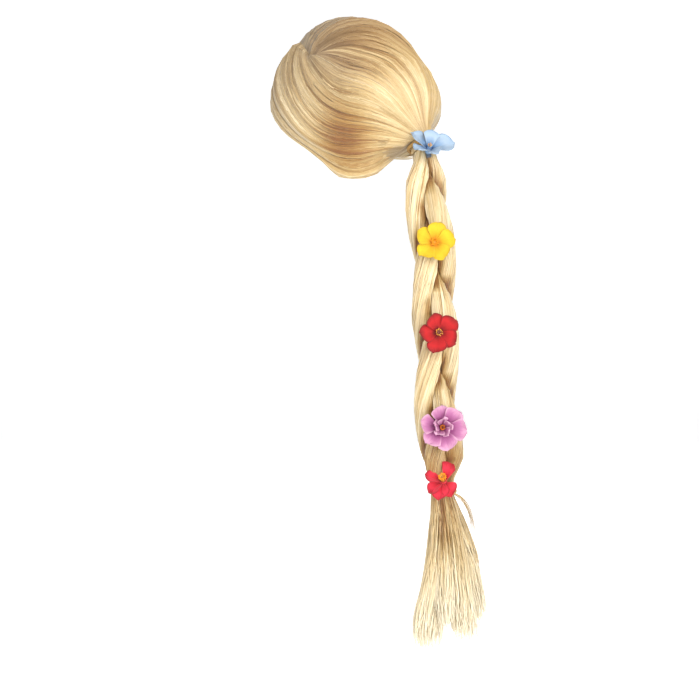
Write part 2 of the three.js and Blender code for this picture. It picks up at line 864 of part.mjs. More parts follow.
// Where a flower sits: the plait's frame there and the distance of the plait's front from its middle
function flowerSeat({ place, clipLength = flower.clipLength }) {
  let share = 0;
  while (share < 1 && plaitCurve.getPointAt(share).z > place.up) share += plait.seatStep;
  const frame = plaitFrame(Math.min(share, 1));
  const bandFront = tie.radius + gap + 2 * tie.wire;
  const tied = share === 0 || share > 1 - tie.above / plaitLength;
  if (place.up > plaitTop.z) {
    frame.middle.copy(tie.place).addScaledVector(tieAxis, (place.up - tie.place.z) / tieAxis.z);
  }
  const strands = plaitFront(share, place.aside, clipLength / 2, flower.clipWidth / 2);
  return { ...frame, front: (tied ? bandFront : strands) + gap };
}

function clipGeometry({ clipLength = flower.clipLength }) {
  return new THREE.BoxGeometry(flower.clipWidth, clipLength, flower.clipThick);
}

function named(name, geometry, look) {
  const mesh = new THREE.Mesh(geometry, new THREE.MeshStandardMaterial(look));
  mesh.name = name;
  return mesh;
}

function flowerGroup(spec) {
  const { middle, along, out, aside, front } = flowerSeat(spec);
  const group = new THREE.Group();
  const seat = middle.clone().addScaledVector(aside, spec.place.aside);

  const clip = named(`${spec.name}_clip`, clipGeometry(spec), looks.clip);
  clip.quaternion.setFromRotationMatrix(new THREE.Matrix4().makeBasis(aside, along.clone().negate(), out));
  clip.position.copy(seat).addScaledVector(out, front + flower.clipThick / 2);

  const bloom = new THREE.Group();
  const { facing } = spec;
  const ahead = vector(0, 0, 0)
    .addScaledVector(aside, facing.aside)
    .addScaledVector(vector(0, 0, 1), facing.up)
    .addScaledVector(out, facing.out)
    .normalize();
  const right = vector(0, 0, 1).cross(ahead).normalize();
  const upright = ahead.clone().cross(right);
  bloom.quaternion.setFromRotationMatrix(new THREE.Matrix4().makeBasis(right, upright, ahead));
  bloom.position.copy(seat).addScaledVector(out, front + flower.clipThick + gap + flower.calyx);
  const petalLook = { color: spec.colour, roughness: clothRoughness, metalness: 0 };
  const stamenLook = { color: spec.stamens, roughness: clothRoughness, metalness: 0 };
  bloom.add(named(`${spec.name}_petals`, petalsGeometry(spec), petalLook));
  bloom.add(named(`${spec.name}_centre`, stamenGeometry(), stamenLook));

  group.add(clip, bloom);
  return group;
}

// Assembly

const wig = new THREE.Group();
wig.add(named("cap", capGeometry(), looks.cap));
wig.add(named("hair_crown", crownGeometry(), looks.hair));
wig.add(named("hair_gather", gatherGeometry(), looks.hair));

const tieTop = named("hair_tie_top", bandGeometry(tie.radius), looks.tie);
tieTop.quaternion.copy(facingTurn(tieAxis));
tieTop.position.copy(tie.place);
wig.add(tieTop);

for (let index = 0; index < plait.strands; index += 1) {
  wig.add(named(`braid_strand_${index + 1}`, strandGeometry(index), looks.hair));
}

const tieBottom = named("hair_tie_bottom", bandGeometry(tail.headRadius), looks.tie);
tieBottom.quaternion.copy(facingTurn(plaitEnd.along));
tieBottom.position.copy(tailTop).addScaledVector(plaitEnd.along, tail.tieDrop);
wig.add(tieBottom);

wig.add(named("braid_tail", tailGeometry(), looks.hair));
for (const spec of flowers) wig.add(flowerGroup(spec));

export default wig;
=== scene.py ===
import math

import bmesh
import bpy
import numpy as np
from mathutils import Matrix, Vector


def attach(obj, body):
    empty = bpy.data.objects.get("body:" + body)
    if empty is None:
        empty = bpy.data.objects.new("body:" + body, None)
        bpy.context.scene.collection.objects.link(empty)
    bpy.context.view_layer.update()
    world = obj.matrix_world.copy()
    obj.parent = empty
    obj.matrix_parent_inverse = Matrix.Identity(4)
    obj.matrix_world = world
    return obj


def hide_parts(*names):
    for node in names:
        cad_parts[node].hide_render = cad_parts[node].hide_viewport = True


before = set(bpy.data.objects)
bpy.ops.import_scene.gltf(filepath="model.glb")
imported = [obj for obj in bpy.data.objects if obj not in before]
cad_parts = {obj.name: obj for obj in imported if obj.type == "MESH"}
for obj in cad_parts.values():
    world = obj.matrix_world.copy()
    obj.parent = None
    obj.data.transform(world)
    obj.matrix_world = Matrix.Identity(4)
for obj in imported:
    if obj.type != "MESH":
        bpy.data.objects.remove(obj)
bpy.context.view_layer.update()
print("frame loaded:", len(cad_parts), "nodes")

mm = 0.001  # shapes are worked out in millimetres and stored in metres


# small helpers

def mix(first, second, share):
    return first + (second - first) * share


def ease(value, low, high):
    share = np.clip((value - low) / (high - low), 0, 1)
    return share * share * (3 - 2 * share)


def unit(vectors):
    return vectors / np.linalg.norm(vectors, axis=-1, keepdims=True)


def srgb(red, green, blue):
    shares = [value / 255 for value in (red, green, blue)]
    return tuple(s / 12.92 if s < 0.04 else ((s + 0.055) / 1.055) ** 2.4 for s in shares) + (1,)


def readTable(places, values, at):
    index = np.arange(len(places))
    before = np.maximum(index - 1, 0)
    after = np.minimum(index + 1, len(places) - 1)
    slopes = (values[after] - values[before]) / (places[after] - places[before])
    row = np.clip(np.searchsorted(places, at) - 1, 0, len(places) - 2)
    span = places[row + 1] - places[row]
    share = np.clip((at - places[row]) / span, 0, 1)
    start = values[row] * (1 + 2 * share) + slopes[row] * span * share
    end = values[row + 1] * (3 - 2 * share) + slopes[row + 1] * span * (share - 1)
    return start * (1 - share) ** 2 + end * share ** 2


def smoothNoise(generator, count, knots, reach=1.0):  # gentle random curves, one a row
    values = generator.normal(0, reach, (count, knots))
    places = np.arange(knots)

    def at(shares):
        spot = np.clip(shares, 0, 1) * (knots - 1)
        low = np.minimum(spot.astype(int), knots - 2)
        part = ease(spot - low, 0, 1)
        rows = np.arange(count)[:, None]
        return mix(values[rows, places[low]], values[rows, places[low + 1]], part)

    return at


# meshes from arrays

def gridFaces(rows, columns, first=0):
    corner = first + np.arange(rows - 1)[:, None] * columns + np.arange(columns - 1)
    quads = np.stack([corner, corner + 1, corner + columns + 1, corner + columns], -1)
    return quads.reshape(-1, 4).tolist()


def stripFaces(first, second):
    return [[first[i], first[i + 1], second[i + 1], second[i]] for i in range(len(first) - 1)]


def placeObject(name, data):
    placed = bpy.data.objects.new(name, data)
    bpy.context.scene.collection.objects.link(placed)
    return placed


def addPart(points, faces, partPoints, partFaces):  # one more part of a piece, after those already listed
    base = sum(len(part) for part in points)
    points.append(partPoints)
    faces.extend([corner + base for corner in face] for face in partFaces)


def makePiece(name, points, faces, material, uvName="OFBake", uv=None, weld=1e-6):
    mesh = bpy.data.meshes.new(name)
    mesh.from_pydata((np.asarray(points) * mm).tolist(), [], faces)
    if uv is not None:
        corners = np.empty(len(mesh.loops), np.int32)
        mesh.loops.foreach_get("vertex_index", corners)
        layer = mesh.uv_layers.new(name=uvName)
        layer.data.foreach_set("uv", np.asarray(uv)[corners].astype(np.float32).ravel())
    shape = bmesh.new()
    shape.from_mesh(mesh)
    bmesh.ops.remove_doubles(shape, verts=shape.verts, dist=weld)
    bmesh.ops.dissolve_degenerate(shape, edges=shape.edges, dist=weld)
    bmesh.ops.recalc_face_normals(shape, faces=shape.faces)
    shape.to_mesh(mesh)
    shape.free()
    mesh.shade_smooth()
    mesh.materials.append(material)
    return placeObject(name, mesh)


def settle(piece, slot, *nodes):
    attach(piece, "root")
    if nodes:
        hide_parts(*nodes)


def tubeArrays(rings):  # rings of points as a closed tube with flat ends
    steps, sides, _ = rings.shape
    points = rings.reshape(-1, 3)
    corner = np.arange(steps - 1)[:, None] * sides + np.arange(sides)
    onward = np.arange(steps - 1)[:, None] * sides + (np.arange(sides) + 1) % sides
    quads = np.stack([corner, onward, onward + sides, corner + sides], -1).reshape(-1, 4).tolist()
    ends = [list(range(sides))[::-1], list(range((steps - 1) * sides, steps * sides))]
    return points, quads + ends


# node helpers

def addNode(tree, kind, inputs=(), **settings):
    node = tree.nodes.new(kind)
    for name, value in settings.items():
        setattr(node, name, value)
    for name, value in dict(inputs).items():
        socket = node.inputs[name]
        if isinstance(value, bpy.types.NodeSocket):
            tree.links.new(value, socket)
        else:
            socket.default_value = value
    return node


def addMath(tree, operation, *values):
    return addNode(tree, "ShaderNodeMath", enumerate(values), operation=operation).outputs[0]


def addNoise(tree, place, scale, detail):
    inputs = {"Vector": place, "Scale": scale, "Detail": detail}
    return addNode(tree, "ShaderNodeTexNoise", inputs).outputs["Fac"]


def addShift(tree, value, reach):  # a value from 0 to 1 becomes one that is reach wide round 0
    return addMath(tree, "MULTIPLY_ADD", value, reach, -reach / 2)


def addRange(tree, value, low, high):
    inputs = {"Value": value, "To Min": low, "To Max": high}
    return addNode(tree, "ShaderNodeMapRange", inputs).outputs["Result"]


def objectPlace(tree):
    return addNode(tree, "ShaderNodeTexCoord").outputs["Object"]


def mapPlace(tree, name):
    return addNode(tree, "ShaderNodeUVMap", uv_map=name).outputs["UV"]


def newMaterial(name, **values):
    material = bpy.data.materials.new(name)
    material.use_nodes = True
    shader = material.node_tree.nodes["Principled BSDF"]
    for socket, value in values.items():
        shader.inputs[socket.replace("_", " ")].default_value = value
    return material, material.node_tree, shader


def addRamp(tree, share, stops):
    ramp = addNode(tree, "ShaderNodeValToRGB", {"Fac": share})
    elements = ramp.color_ramp.elements
    while len(elements) < len(stops):
        elements.new(1)
    for element, (place, colour) in zip(elements, stops):
        element.position = place
        element.color = colour
    return ramp.outputs["Color"]


def addColour(tree, shader, share, stops):
    tree.links.new(addRamp(tree, share, stops), shader.inputs["Base Color"])


def addBump(tree, shader, height, strength, distance):
    bump = addNode(tree, "ShaderNodeBump", {"Height": height, "Strength": strength, "Distance": distance})
    tree.links.new(bump.outputs["Normal"], shader.inputs["Normal"])


# geometry trees: named inputs at one end, a material at the other

def newTree(name, inputs):
    tree = bpy.data.node_groups.new(name, "GeometryNodeTree")
    tree.interface.new_socket("Geometry", in_out="INPUT", socket_type="NodeSocketGeometry")
    sockets = {}
    for label, kind in inputs.items():
        socket = tree.interface.new_socket(label, in_out="INPUT", socket_type="NodeSocket" + kind)
        sockets[label] = socket.identifier
    tree.interface.new_socket("Geometry", in_out="OUTPUT", socket_type="NodeSocketGeometry")
    return tree, tree.nodes.new("NodeGroupInput").outputs, sockets


def finishTree(tree, geometry, finish):
    real = addNode(tree, "GeometryNodeRealizeInstances", {0: geometry})
    smooth = addNode(tree, "GeometryNodeSetShadeSmooth", {0: real.outputs[0]})
    done = addNode(tree, "GeometryNodeSetMaterial", {0: smooth.outputs[0], "Material": finish})
    result = tree.nodes.new("NodeGroupOutput")
    tree.links.new(done.outputs[0], result.inputs["Geometry"])


def namedValue(tree, name, kind="FLOAT"):
    node = addNode(tree, "GeometryNodeInputNamedAttribute", {"Name": name}, data_type=kind)
    return node.outputs["Attribute"]


def storeValue(tree, geometry, name, value, kind="FLOAT", domain="POINT"):
    inputs = {"Geometry": geometry, "Name": name, "Value": value}
    node = addNode(tree, "GeometryNodeStoreNamedAttribute", inputs, data_type=kind, domain=domain)
    return node.outputs[0]


def growNodes(piece, tree, sockets, values):  # the tree's result becomes the piece's plain mesh
    start = piece.data
    grow = piece.modifiers.new("grow", "NODES")
    grow.node_group = tree
    for label, value in values.items():
        grow[sockets[label]] = value
    view = bpy.context.evaluated_depsgraph_get()
    shown = piece.evaluated_get(view)
    solid = bpy.data.meshes.new_from_object(shown, preserve_all_data_layers=True, depsgraph=view)
    piece.modifiers.remove(grow)
    piece.data = solid
    bpy.data.meshes.remove(start)
    solid.name = piece.name
    return solid


# synthetic hair: U of its map is the tone of a strand, V runs along it

hairTones = [
    (0.0, srgb(124, 77, 34)),
    (0.25, srgb(160, 121, 64)),
    (0.45, srgb(188, 159, 107)),
    (0.62, srgb(212, 187, 139)),
    (0.8, srgb(235, 217, 177)),
    (1.0, srgb(250, 238, 210)),
]

rootTones = [  # ashier, near the parting
    (0.0, srgb(92, 66, 40)),
    (0.25, srgb(140, 114, 79)),
    (0.45, srgb(178, 152, 113)),
    (0.62, srgb(206, 184, 142)),
    (0.8, srgb(234, 214, 178)),
    (1.0, srgb(250, 242, 222)),
]

hairFinish = {
    "grainScale": 34.0,
    "grainDetail": 2.0,
    "grainTone": 0.14,
    "golden": (0.1, 0.6),  # where along the map the ashy roots turn golden
    "rough": (0.3, 0.46),
    "aroundTone": 0.02,  # from one side of a fibre to the other
    "toneLimits": (0.02, 0.97),
    "belowBand": 0.62,  # where the map's V starts on the plait and the tail
    "fibreSides": 3,
}


def hairMaterial():
    form = hairFinish
    material, tree, shader = newMaterial("hair_fibre", Roughness=0.36, Sheen_Weight=0.2, Sheen_Roughness=0.5)
    place = mapPlace(tree, "OFBake")
    axes = addNode(tree, "ShaderNodeSeparateXYZ", {"Vector": place})
    grain = addNoise(tree, place, form["grainScale"], form["grainDetail"])
    tone = addMath(tree, "ADD", axes.outputs["X"], addShift(tree, grain, form["grainTone"]))
    golden = addNode(tree, "ShaderNodeMapRange", {
        "Value": axes.outputs["Y"], "From Min": form["golden"][0], "From Max": form["golden"][1],
    })
    colour = addNode(tree, "ShaderNodeMix", {
        "Factor": golden.outputs["Result"],
        "A": addRamp(tree, tone, rootTones),
        "B": addRamp(tree, tone, hairTones),
    }, data_type="RGBA")
    tree.links.new(colour.outputs["Result"], shader.inputs["Base Color"])
    tree.links.new(addRange(tree, grain, *form["rough"]), shader.inputs["Roughness"])
    return material


hairLook = hairMaterial()


def fibreTree():
    tree, given, sockets = newTree("hairFibres", {"Sides": "Int", "Width": "Float", "Finish": "Material"})
    lines = addNode(tree, "GeometryNodeMeshToCurve", {"Mesh": given["Geometry"]})
    girth = addMath(tree, "MULTIPLY", namedValue(tree, "girth"), given["Width"])
    sized = addNode(tree, "GeometryNodeSetCurveRadius", {"Curve": lines.outputs[0], "Radius": girth})
    ring = addNode(tree, "GeometryNodeCurvePrimitiveCircle", {"Resolution": given["Sides"], "Radius": 1.0})
    spot = addNode(tree, "GeometryNodeSplineParameter")
    profile = storeValue(tree, ring.outputs[0], "around", spot.outputs["Factor"])
    tube = addNode(tree, "GeometryNodeCurveToMesh", {
        "Curve": sized.outputs[0], "Profile Curve": profile, "Fill Caps": True,
    })
    if "Scale" in tube.inputs:  # newer versions take the girth here and not from the curve
        tree.links.new(girth, tube.inputs["Scale"])
    around = namedValue(tree, "around")
    across = addMath(tree, "MULTIPLY_ADD", around, hairFinish["aroundTone"], namedValue(tree, "tone"))
    place = addNode(tree, "ShaderNodeCombineXYZ", {"X": across, "Y": namedValue(tree, "along")})
    mapped = storeValue(tree, tube.outputs[0], "OFBake", place.outputs[0], "FLOAT2", "CORNER")
    finishTree(tree, mapped, given["Finish"])
    return tree, sockets


fibreNodes, fibreSockets = fibreTree()


# lines is fibres x points x 3; girth, tone and along are fibres x points
def makeFibres(name, lines, girth, tone, along):
    count, steps, _ = lines.shape
    mesh = bpy.data.meshes.new(name)
    first = np.arange(count)[:, None] * steps + np.arange(steps - 1)
    edges = np.stack([first, first + 1], -1).reshape(-1, 2)
    mesh.from_pydata((lines.reshape(-1, 3) * mm).tolist(), edges.tolist(), [])
    tone = np.clip(tone, *hairFinish["toneLimits"])
    for label, values in (("girth", girth * mm), ("tone", tone), ("along", along)):
        layer = mesh.attributes.new(label, "FLOAT", "POINT")
        layer.data.foreach_set("value", np.broadcast_to(values, (count, steps)).astype(np.float32).ravel())
    bundle = placeObject(name, mesh)
    values = {"Sides": hairFinish["fibreSides"], "Width": 1.0, "Finish": hairLook}
    solid = growNodes(bundle, fibreNodes, fibreSockets, values)
    for label in ("girth", "tone", "along", "around"):
        if label in solid.attributes:
            solid.attributes.remove(solid.attributes[label])
    print(name, len(solid.polygons), "faces")
    settle(bundle, "hair")


# the hollow that the cap leaves for the wearer, and the outer form of the hair combed over it

headForm = {
    "radii": np.array([75, 95, 100.0]),
    "middle": np.array([0, 0, -100.0]),
    "neckTop": np.array([0, 17, -120.0]),
    "neckFoot": np.array([0, 17, -260.0]),
    "neckRadius": 47,
    "blend": 24,
}

hairForm = {
    "radii": np.array([91, 110, 101.0]),
    "middle": np.array([3, 3, -93.0]),
    "tilt": math.radians(6),
    "fallRadii": np.array([74, 50, 48.0]),
    "fallMiddle": np.array([0, 77, -111.0]),
    "sleeveTop": np.array([0, 22, -120.0]),
    "sleeveFoot": np.array([0, 22, -216.0]),
    "sleeveRadii": (80, 52),
    "funnelStart": np.array([0, 70, -118.0]),
    "funnelRadius": 62,
    "blend": 18,
    "backing": 2.6,  # distance of the hair's inner side from the hollow
    "edgeShare": 0.62,
    "edgeLock": 0.14,
    "partDepth": 3,
    "partWidth": 0.07,
    "bandFade": 6,
    "lockShares": [0.1, 0.13, 0.11, 0.14, 0.12, 0.15, 0.12, 0.13],
    "lockLifts": [1.2, 2.0, 1.3, 2.1, 1.5, 1.9, 1.3, 1.6],
}

tieForm = {
    "place": np.array([0, 125, -174.0]),
    "axis": np.array([0, math.sin(math.radians(17)), -math.cos(math.radians(17))]),
    "radius": 13,
    "wire": 2.2,
    "above": 5,
    "below": 8,
}


def eggField(points, middle, radii, tilt=0.0):
    x, y, z = np.moveaxis(points - middle, -1, 0)
    turnedY = y * math.cos(tilt) - z * math.sin(tilt)
    turnedZ = y * math.sin(tilt) + z * math.cos(tilt)
    scaled = np.stack([x, turnedY, turnedZ], -1) / radii
    reach = np.linalg.norm(scaled, axis=-1)
    return reach * (reach - 1) / np.linalg.norm(scaled / radii, axis=-1)


def coneField(points, start, end, startRadius, endRadius):
    line = end - start
    share = np.clip((points - start) @ line / (line @ line), 0, 1)
    nearest = start + share[..., None] * line
    return np.linalg.norm(points - nearest, axis=-1) - mix(startRadius, endRadius, share)


def blendFields(first, second, width):
    share = np.clip(0.5 + 0.5 * (second - first) / width, 0, 1)
    return mix(second, first, share) - width * share * (1 - share)


def headField(points):
    skull = eggField(points, headForm["middle"], headForm["radii"])
    radius = headForm["neckRadius"]
    neck = coneField(points, headForm["neckTop"], headForm["neckFoot"], radius, radius)
    return blendFields(skull, neck, headForm["blend"])


def hairField(points):
    form = hairForm
    field = eggField(points, form["middle"], form["radii"], form["tilt"])
    fall = eggField(points, form["fallMiddle"], form["fallRadii"])
    sleeve = coneField(points, form["sleeveTop"], form["sleeveFoot"], *form["sleeveRadii"])
    funnel = coneField(points, form["funnelStart"], tieForm["place"], form["funnelRadius"], tieForm["radius"])
    for part in (fall, sleeve, funnel):
        field = blendFields(field, part, form["blend"])
    return field


reachSearch = {"near": 5.0, "far": 320.0, "halvings": 24}


def reachOf(field, start, directions, level):  # distance at which the field comes up to the level
    near = np.full(directions.shape[:-1], reachSearch["near"])
    far = np.full(directions.shape[:-1], reachSearch["far"])
    for _ in range(reachSearch["halvings"]):
        middle = (near + far) / 2
        inside = field(start + directions * middle[..., None]) < level
        near = np.where(inside, middle, near)
        far = np.where(inside, far, middle)
    return near


# how the locks run from the parting to the band, as angles seen from the combing centre

combing = {
    "centre": np.array([0, 10, -150.0]),
    "partTurn": 2,
    "crownTurn": 47,
    "crownShare": 0.58,
    "crowd": 1.8,
    "turnFirst": 1.2,
    "sag": 24,
    "sagLate": 1.5,
    "hug": 16,
    "hugFade": 0.2,
    "straight": 1.1,
    "throatReach": 9,
    "lineSteps": 80,
    # hairline from the forehead to the nape: aside, back, up on the left, up on the right
    "hairline": np.array([
        (0, -100, -42, -42),
        (40, -95, -65, -65),
        (62, -78, -95, -95),
        (74, -50, -127, -125),
        (76, -31, -146, -141),
        (74, -2, -169, -152),
        (66, 17, -187, -156),
        (55, 38, -208, -160.5),
        (40, 56, -208, -164),
        (22, 64, -200, -166),
        (9, 76, -190, -170.5),
        (0, 88, -180, -180),
    ], float),
}

combAxis = unit(tieForm["place"] - combing["centre"])
combUp = np.array([0, -combAxis[2], combAxis[1]])
combLeft = np.array([1.0, 0, 0])


def hairlineAngles(column):
    rows = combing["hairline"]
    directions = unit(rows[:, [0, 1, column]] - combing["centre"])
    turns = np.degrees(np.arctan2(directions @ combLeft, directions @ combUp))
    return turns, np.degrees(np.arccos(directions @ combAxis))


leftHairline = hairlineAngles(2)
rightHairline = hairlineAngles(3)


# side is 1 or -1; lock 0 follows the hairline and 1 the middle; along runs from the parting to the band
def combedDirections(side, lock, along):
    side, lock, along = np.broadcast_arrays(side, lock, along)
    crowd = combing["crowd"]
    parted = lock ** crowd / (lock ** crowd + (1 - lock) ** crowd)
    startTurn = mix(combing["partTurn"], combing["crownTurn"], parted)
    endTurn = side * 180 * (1 - lock)
    sag = side * combing["sag"] * 4 * lock * (1 - lock) * np.sin(np.pi * along ** combing["sagLate"])
    turn = mix(startTurn, endTurn, 1 - (1 - along) ** combing["turnFirst"]) + sag
    edgeLeft = readTable(*leftHairline, np.abs(turn))
    edgeRight = readTable(*rightHairline, np.abs(turn))
    edgeReach = np.where(turn > 0, edgeLeft, edgeRight)
    hug = mix(combing["hug"], combing["straight"], lock ** combing["hugFade"])
    share = mix(1, combing["crownShare"], parted) * (1 - along ** hug)
    away = np.radians(mix(combing["throatReach"], edgeReach, share))[..., None]
    bearing = np.radians(turn)[..., None]
    across = combUp * np.cos(bearing) + combLeft * np.sin(bearing)
    return combAxis * np.cos(away) + across * np.sin(away)


# shares along each line, from its beginning to the band, at even distances
def evenAlong(side, lock, begin, evenly):
    fine = mix(np.asarray(begin)[:, None], 1, np.linspace(0, 1, combing["lineSteps"]))
    directions = combedDirections(side, np.asarray(lock)[:, None], fine)
    steps = np.linalg.norm(np.diff(directions, axis=1), axis=2)
    runs = np.concatenate([np.zeros((len(steps), 1)), np.cumsum(steps, axis=1)], 1)
    return np.stack([np.interp(evenly * run[-1], run, line) for run, line in zip(runs, fine)])


lockEdges = np.concatenate([[0], np.cumsum(hairForm["lockShares"])]) / sum(hairForm["lockShares"])


def lockLift(lock):
    index = np.clip(np.searchsorted(lockEdges, lock, side="right") - 1, 0, len(hairForm["lockLifts"]) - 1)
    share = (lock - lockEdges[index]) / (lockEdges[index + 1] - lockEdges[index])
    return np.array(hairForm["lockLifts"])[index] * np.sin(np.pi * np.clip(share, 0, 1))


def combedPoints(side, lock, along, lifted=0.0):
    side, lock, along = np.broadcast_arrays(side, lock, along)
    directions = combedDirections(side, lock, along)
    backing = reachOf(headField, combing["centre"], directions, hairForm["backing"])
    outside = reachOf(hairField, combing["centre"], directions, 0)
    edge = mix(hairForm["edgeShare"], 1, ease(lock, 0, hairForm["edgeLock"]))
    freed = ease(along, 0, hairForm["partWidth"])
    relief = lockLift(lock) * freed * (1 - along ** hairForm["bandFade"])
    relief = relief - hairForm["partDepth"] * (1 - freed)
    reach = mix(backing, outside, edge) + relief + lifted
    outer = combing["centre"] + directions * reach[..., None]
    inner = combing["centre"] + directions * backing[..., None]
    return outer, inner


def throatPoints(side, lock, radius, shift):
    bearing = np.radians(side * 180 * (1 - lock))[..., None]
    ringUp = np.array([0, -tieForm["axis"][2], tieForm["axis"][1]])
    across = ringUp * np.cos(bearing) + combLeft * np.sin(bearing)
    return tieForm["place"] + tieForm["axis"] * shift + across * np.asarray(radius)[..., None]


# darker near the parting, most of all in the middle: partly darker roots, partly painted shade on the top of
# the head, which the light reaches less
rootForm = {"hairline": 0.1, "left": 0.41, "right": 0.51, "full": 0.15, "gone": 0.9}


def rootShade(side, lock, place):
    middle = np.where(np.asarray(side) > 0, rootForm["left"], rootForm["right"])
    return mix(rootForm["hairline"], middle, lock) * (1 - ease(place, rootForm["full"], rootForm["gone"]))


# combed hair: one closed shell under the fibres

shellForm = {
    "columns": 150,
    "rows": 44,
    "grooves": 46,
    "grooveDepth": 0.4,
    "grooveLevel": 0.6,  # share of the depth that lies inwards
    "grooveStray": 0.4,
    "grooveFade": 0.5,
    "under": 0.7,  # below the fibres
    "throatInset": 0.6,
    "tone": 0.56,
    # painted shade: darker in the grooves, lighter on the ridges
    "grooveShade": 0.06,
    "patches": 60,
    "patchTone": 0.09,
    "shadeShare": 0.6,
    "seed": 3,
}


def combedShell():
    form = shellForm
    generator = np.random.default_rng(form["seed"])
    left = np.linspace(0, 1, form["columns"])
    right = left[-2::-1]  # back again, without the middle line
    lock = np.concatenate([left, right])
    side = np.concatenate([np.ones(len(left)), -np.ones(len(right))])
    evenly = np.linspace(0, 1, form["rows"])
    halves = ((1, left), (-1, right))
    shares = [evenAlong(turned, half, np.zeros(len(half)), evenly) for turned, half in halves]
    along = np.concatenate(shares).T
    stray = form["grooveStray"] * generator.random(len(lock))
    groove = np.abs(np.sin(np.pi * form["grooves"] * lock + stray))
    depth = form["grooveDepth"] * (groove - form["grooveLevel"])
    lifted = depth * np.sin(np.pi * along) ** form["grooveFade"]
    lifted = lifted - form["under"] * (1 - along ** hairForm["bandFade"])
    outer, inner = combedPoints(side, lock, along, lifted)
    radius = np.full(len(lock), tieForm["radius"] - form["throatInset"])
    throat = [throatPoints(side, lock, radius, shift) for shift in (-tieForm["above"], tieForm["below"])]
    outer = np.concatenate([outer, np.stack(throat)])
    columns = len(lock)
    outerRows = len(outer)
    points = np.concatenate([outer.reshape(-1, 3), inner.reshape(-1, 3)])
    first = outerRows * columns  # inner points follow the outer ones
    faces = gridFaces(outerRows, columns) + [f[::-1] for f in gridFaces(form["rows"], columns, first)]
    startRim = np.arange(form["rows"]) * columns
    endRim = startRim + columns - 1
    faces += stripFaces(startRim.tolist(), (first + startRim).tolist())
    faces += stripFaces((first + endRim).tolist(), endRim.tolist())
    outerEnd = [(outerRows - 1) * columns + i for i in range(columns - 1)]
    innerEnd = [first + (form["rows"] - 1) * columns + i for i in range(columns - 1)]
    faces += [outerEnd, innerEnd[::-1]]
    patchTone = smoothNoise(generator, 1, form["patches"], form["patchTone"])(lock[None])[0]
    place = np.linspace(0, 1, outerRows)[:, None]
    # painted shade: the shell's grooves darker, its ridges lighter
    tone = form["tone"] + patchTone + form["grooveShade"] * (groove - 0.5)
    # painted shade on the crown, as on the fibres
    tone = tone - form["shadeShare"] * rootShade(side, lock, place)
    outerUv = np.stack(np.broadcast_arrays(tone, place), -1).reshape(-1, 2)
    innerUv = np.stack(np.broadcast_arrays(tone[:form["rows"]], along), -1).reshape(-1, 2)
    piece = makePiece("hair_combed", points, faces, hairLook, uv=np.concatenate([outerUv, innerUv]))
    settle(piece, "hair", "hair_crown", "hair_gather")


combedShell()
print("combed shell done")


# fibres over the shell

fibreForm = {
    "count": 1500,  # on each side
    "steps": 20,
    "firstSteps": 1.15,  # above 1 the steps are shorter near the parting
    "edgeDensity": 0.4,  # fewer fibres along the hairline, where they run close together
    "densityRise": 1.6,
    "clumps": 64,
    "clumpWidths": (0.4, 1.6),
    "stray": 0.25,  # in clump widths
    "pinch": 0.2,
    "drift": 0.45,  # in clump widths
    "driftKnots": 5,
    "sway": 0.004,
    "swayKnots": 4,
    "knots": 24,  # places along a clump where its drift and tone are read
    "clumpLift": 0.7,
    "lifts": (-0.2, 0.8),
    "liftFade": 0.6,
    "loose": 0.35,  # share that lies under the clumps
    "looseDrop": 0.35,
    "late": 0.35,  # share that begins beyond the parting
    "latest": 0.55,
    "throatInset": (0.2, 1.5),
    "throatPlaces": (1.03, 1.06),
    "girth": 0.7,
    "girths": (0.7, 1.25),
    "endGirth": 0.55,
    "endTaper": 0.4,
    "tone": 0.64,
    "clumpTone": 0.06,
    "ownTone": 0.05,
    "streakTone": 0.06,
    "streakKnots": 6,
    "pale": 0.16,
    "paleShare": 0.12,
    # painted shade: darker where the hair runs into the band
    "bandShade": 0.18,
    "bandPlaces": (0.6, 0.95),
    "edgePale": 0.13,  # along the hairline: partly paler, thinner hair, partly painted rim light where the edge fades pale
    "edgeWidth": 0.15,
    "lowPlace": np.array([63, 56, -163.0]),  # a patch of painted shade low on the left, where the hair turns down away from the light
    "lowReach": 34,
    "lowShade": 0.64,
    "seed": 8,
}


def spreadLocks(share):  # even shares become locks, thinned out along the hairline
    low, rise = fibreForm["edgeDensity"], fibreForm["densityRise"]
    total = low + rise / 2
    return (-low + np.sqrt(low * low + 2 * rise * total * np.clip(share, 0, 1))) / rise


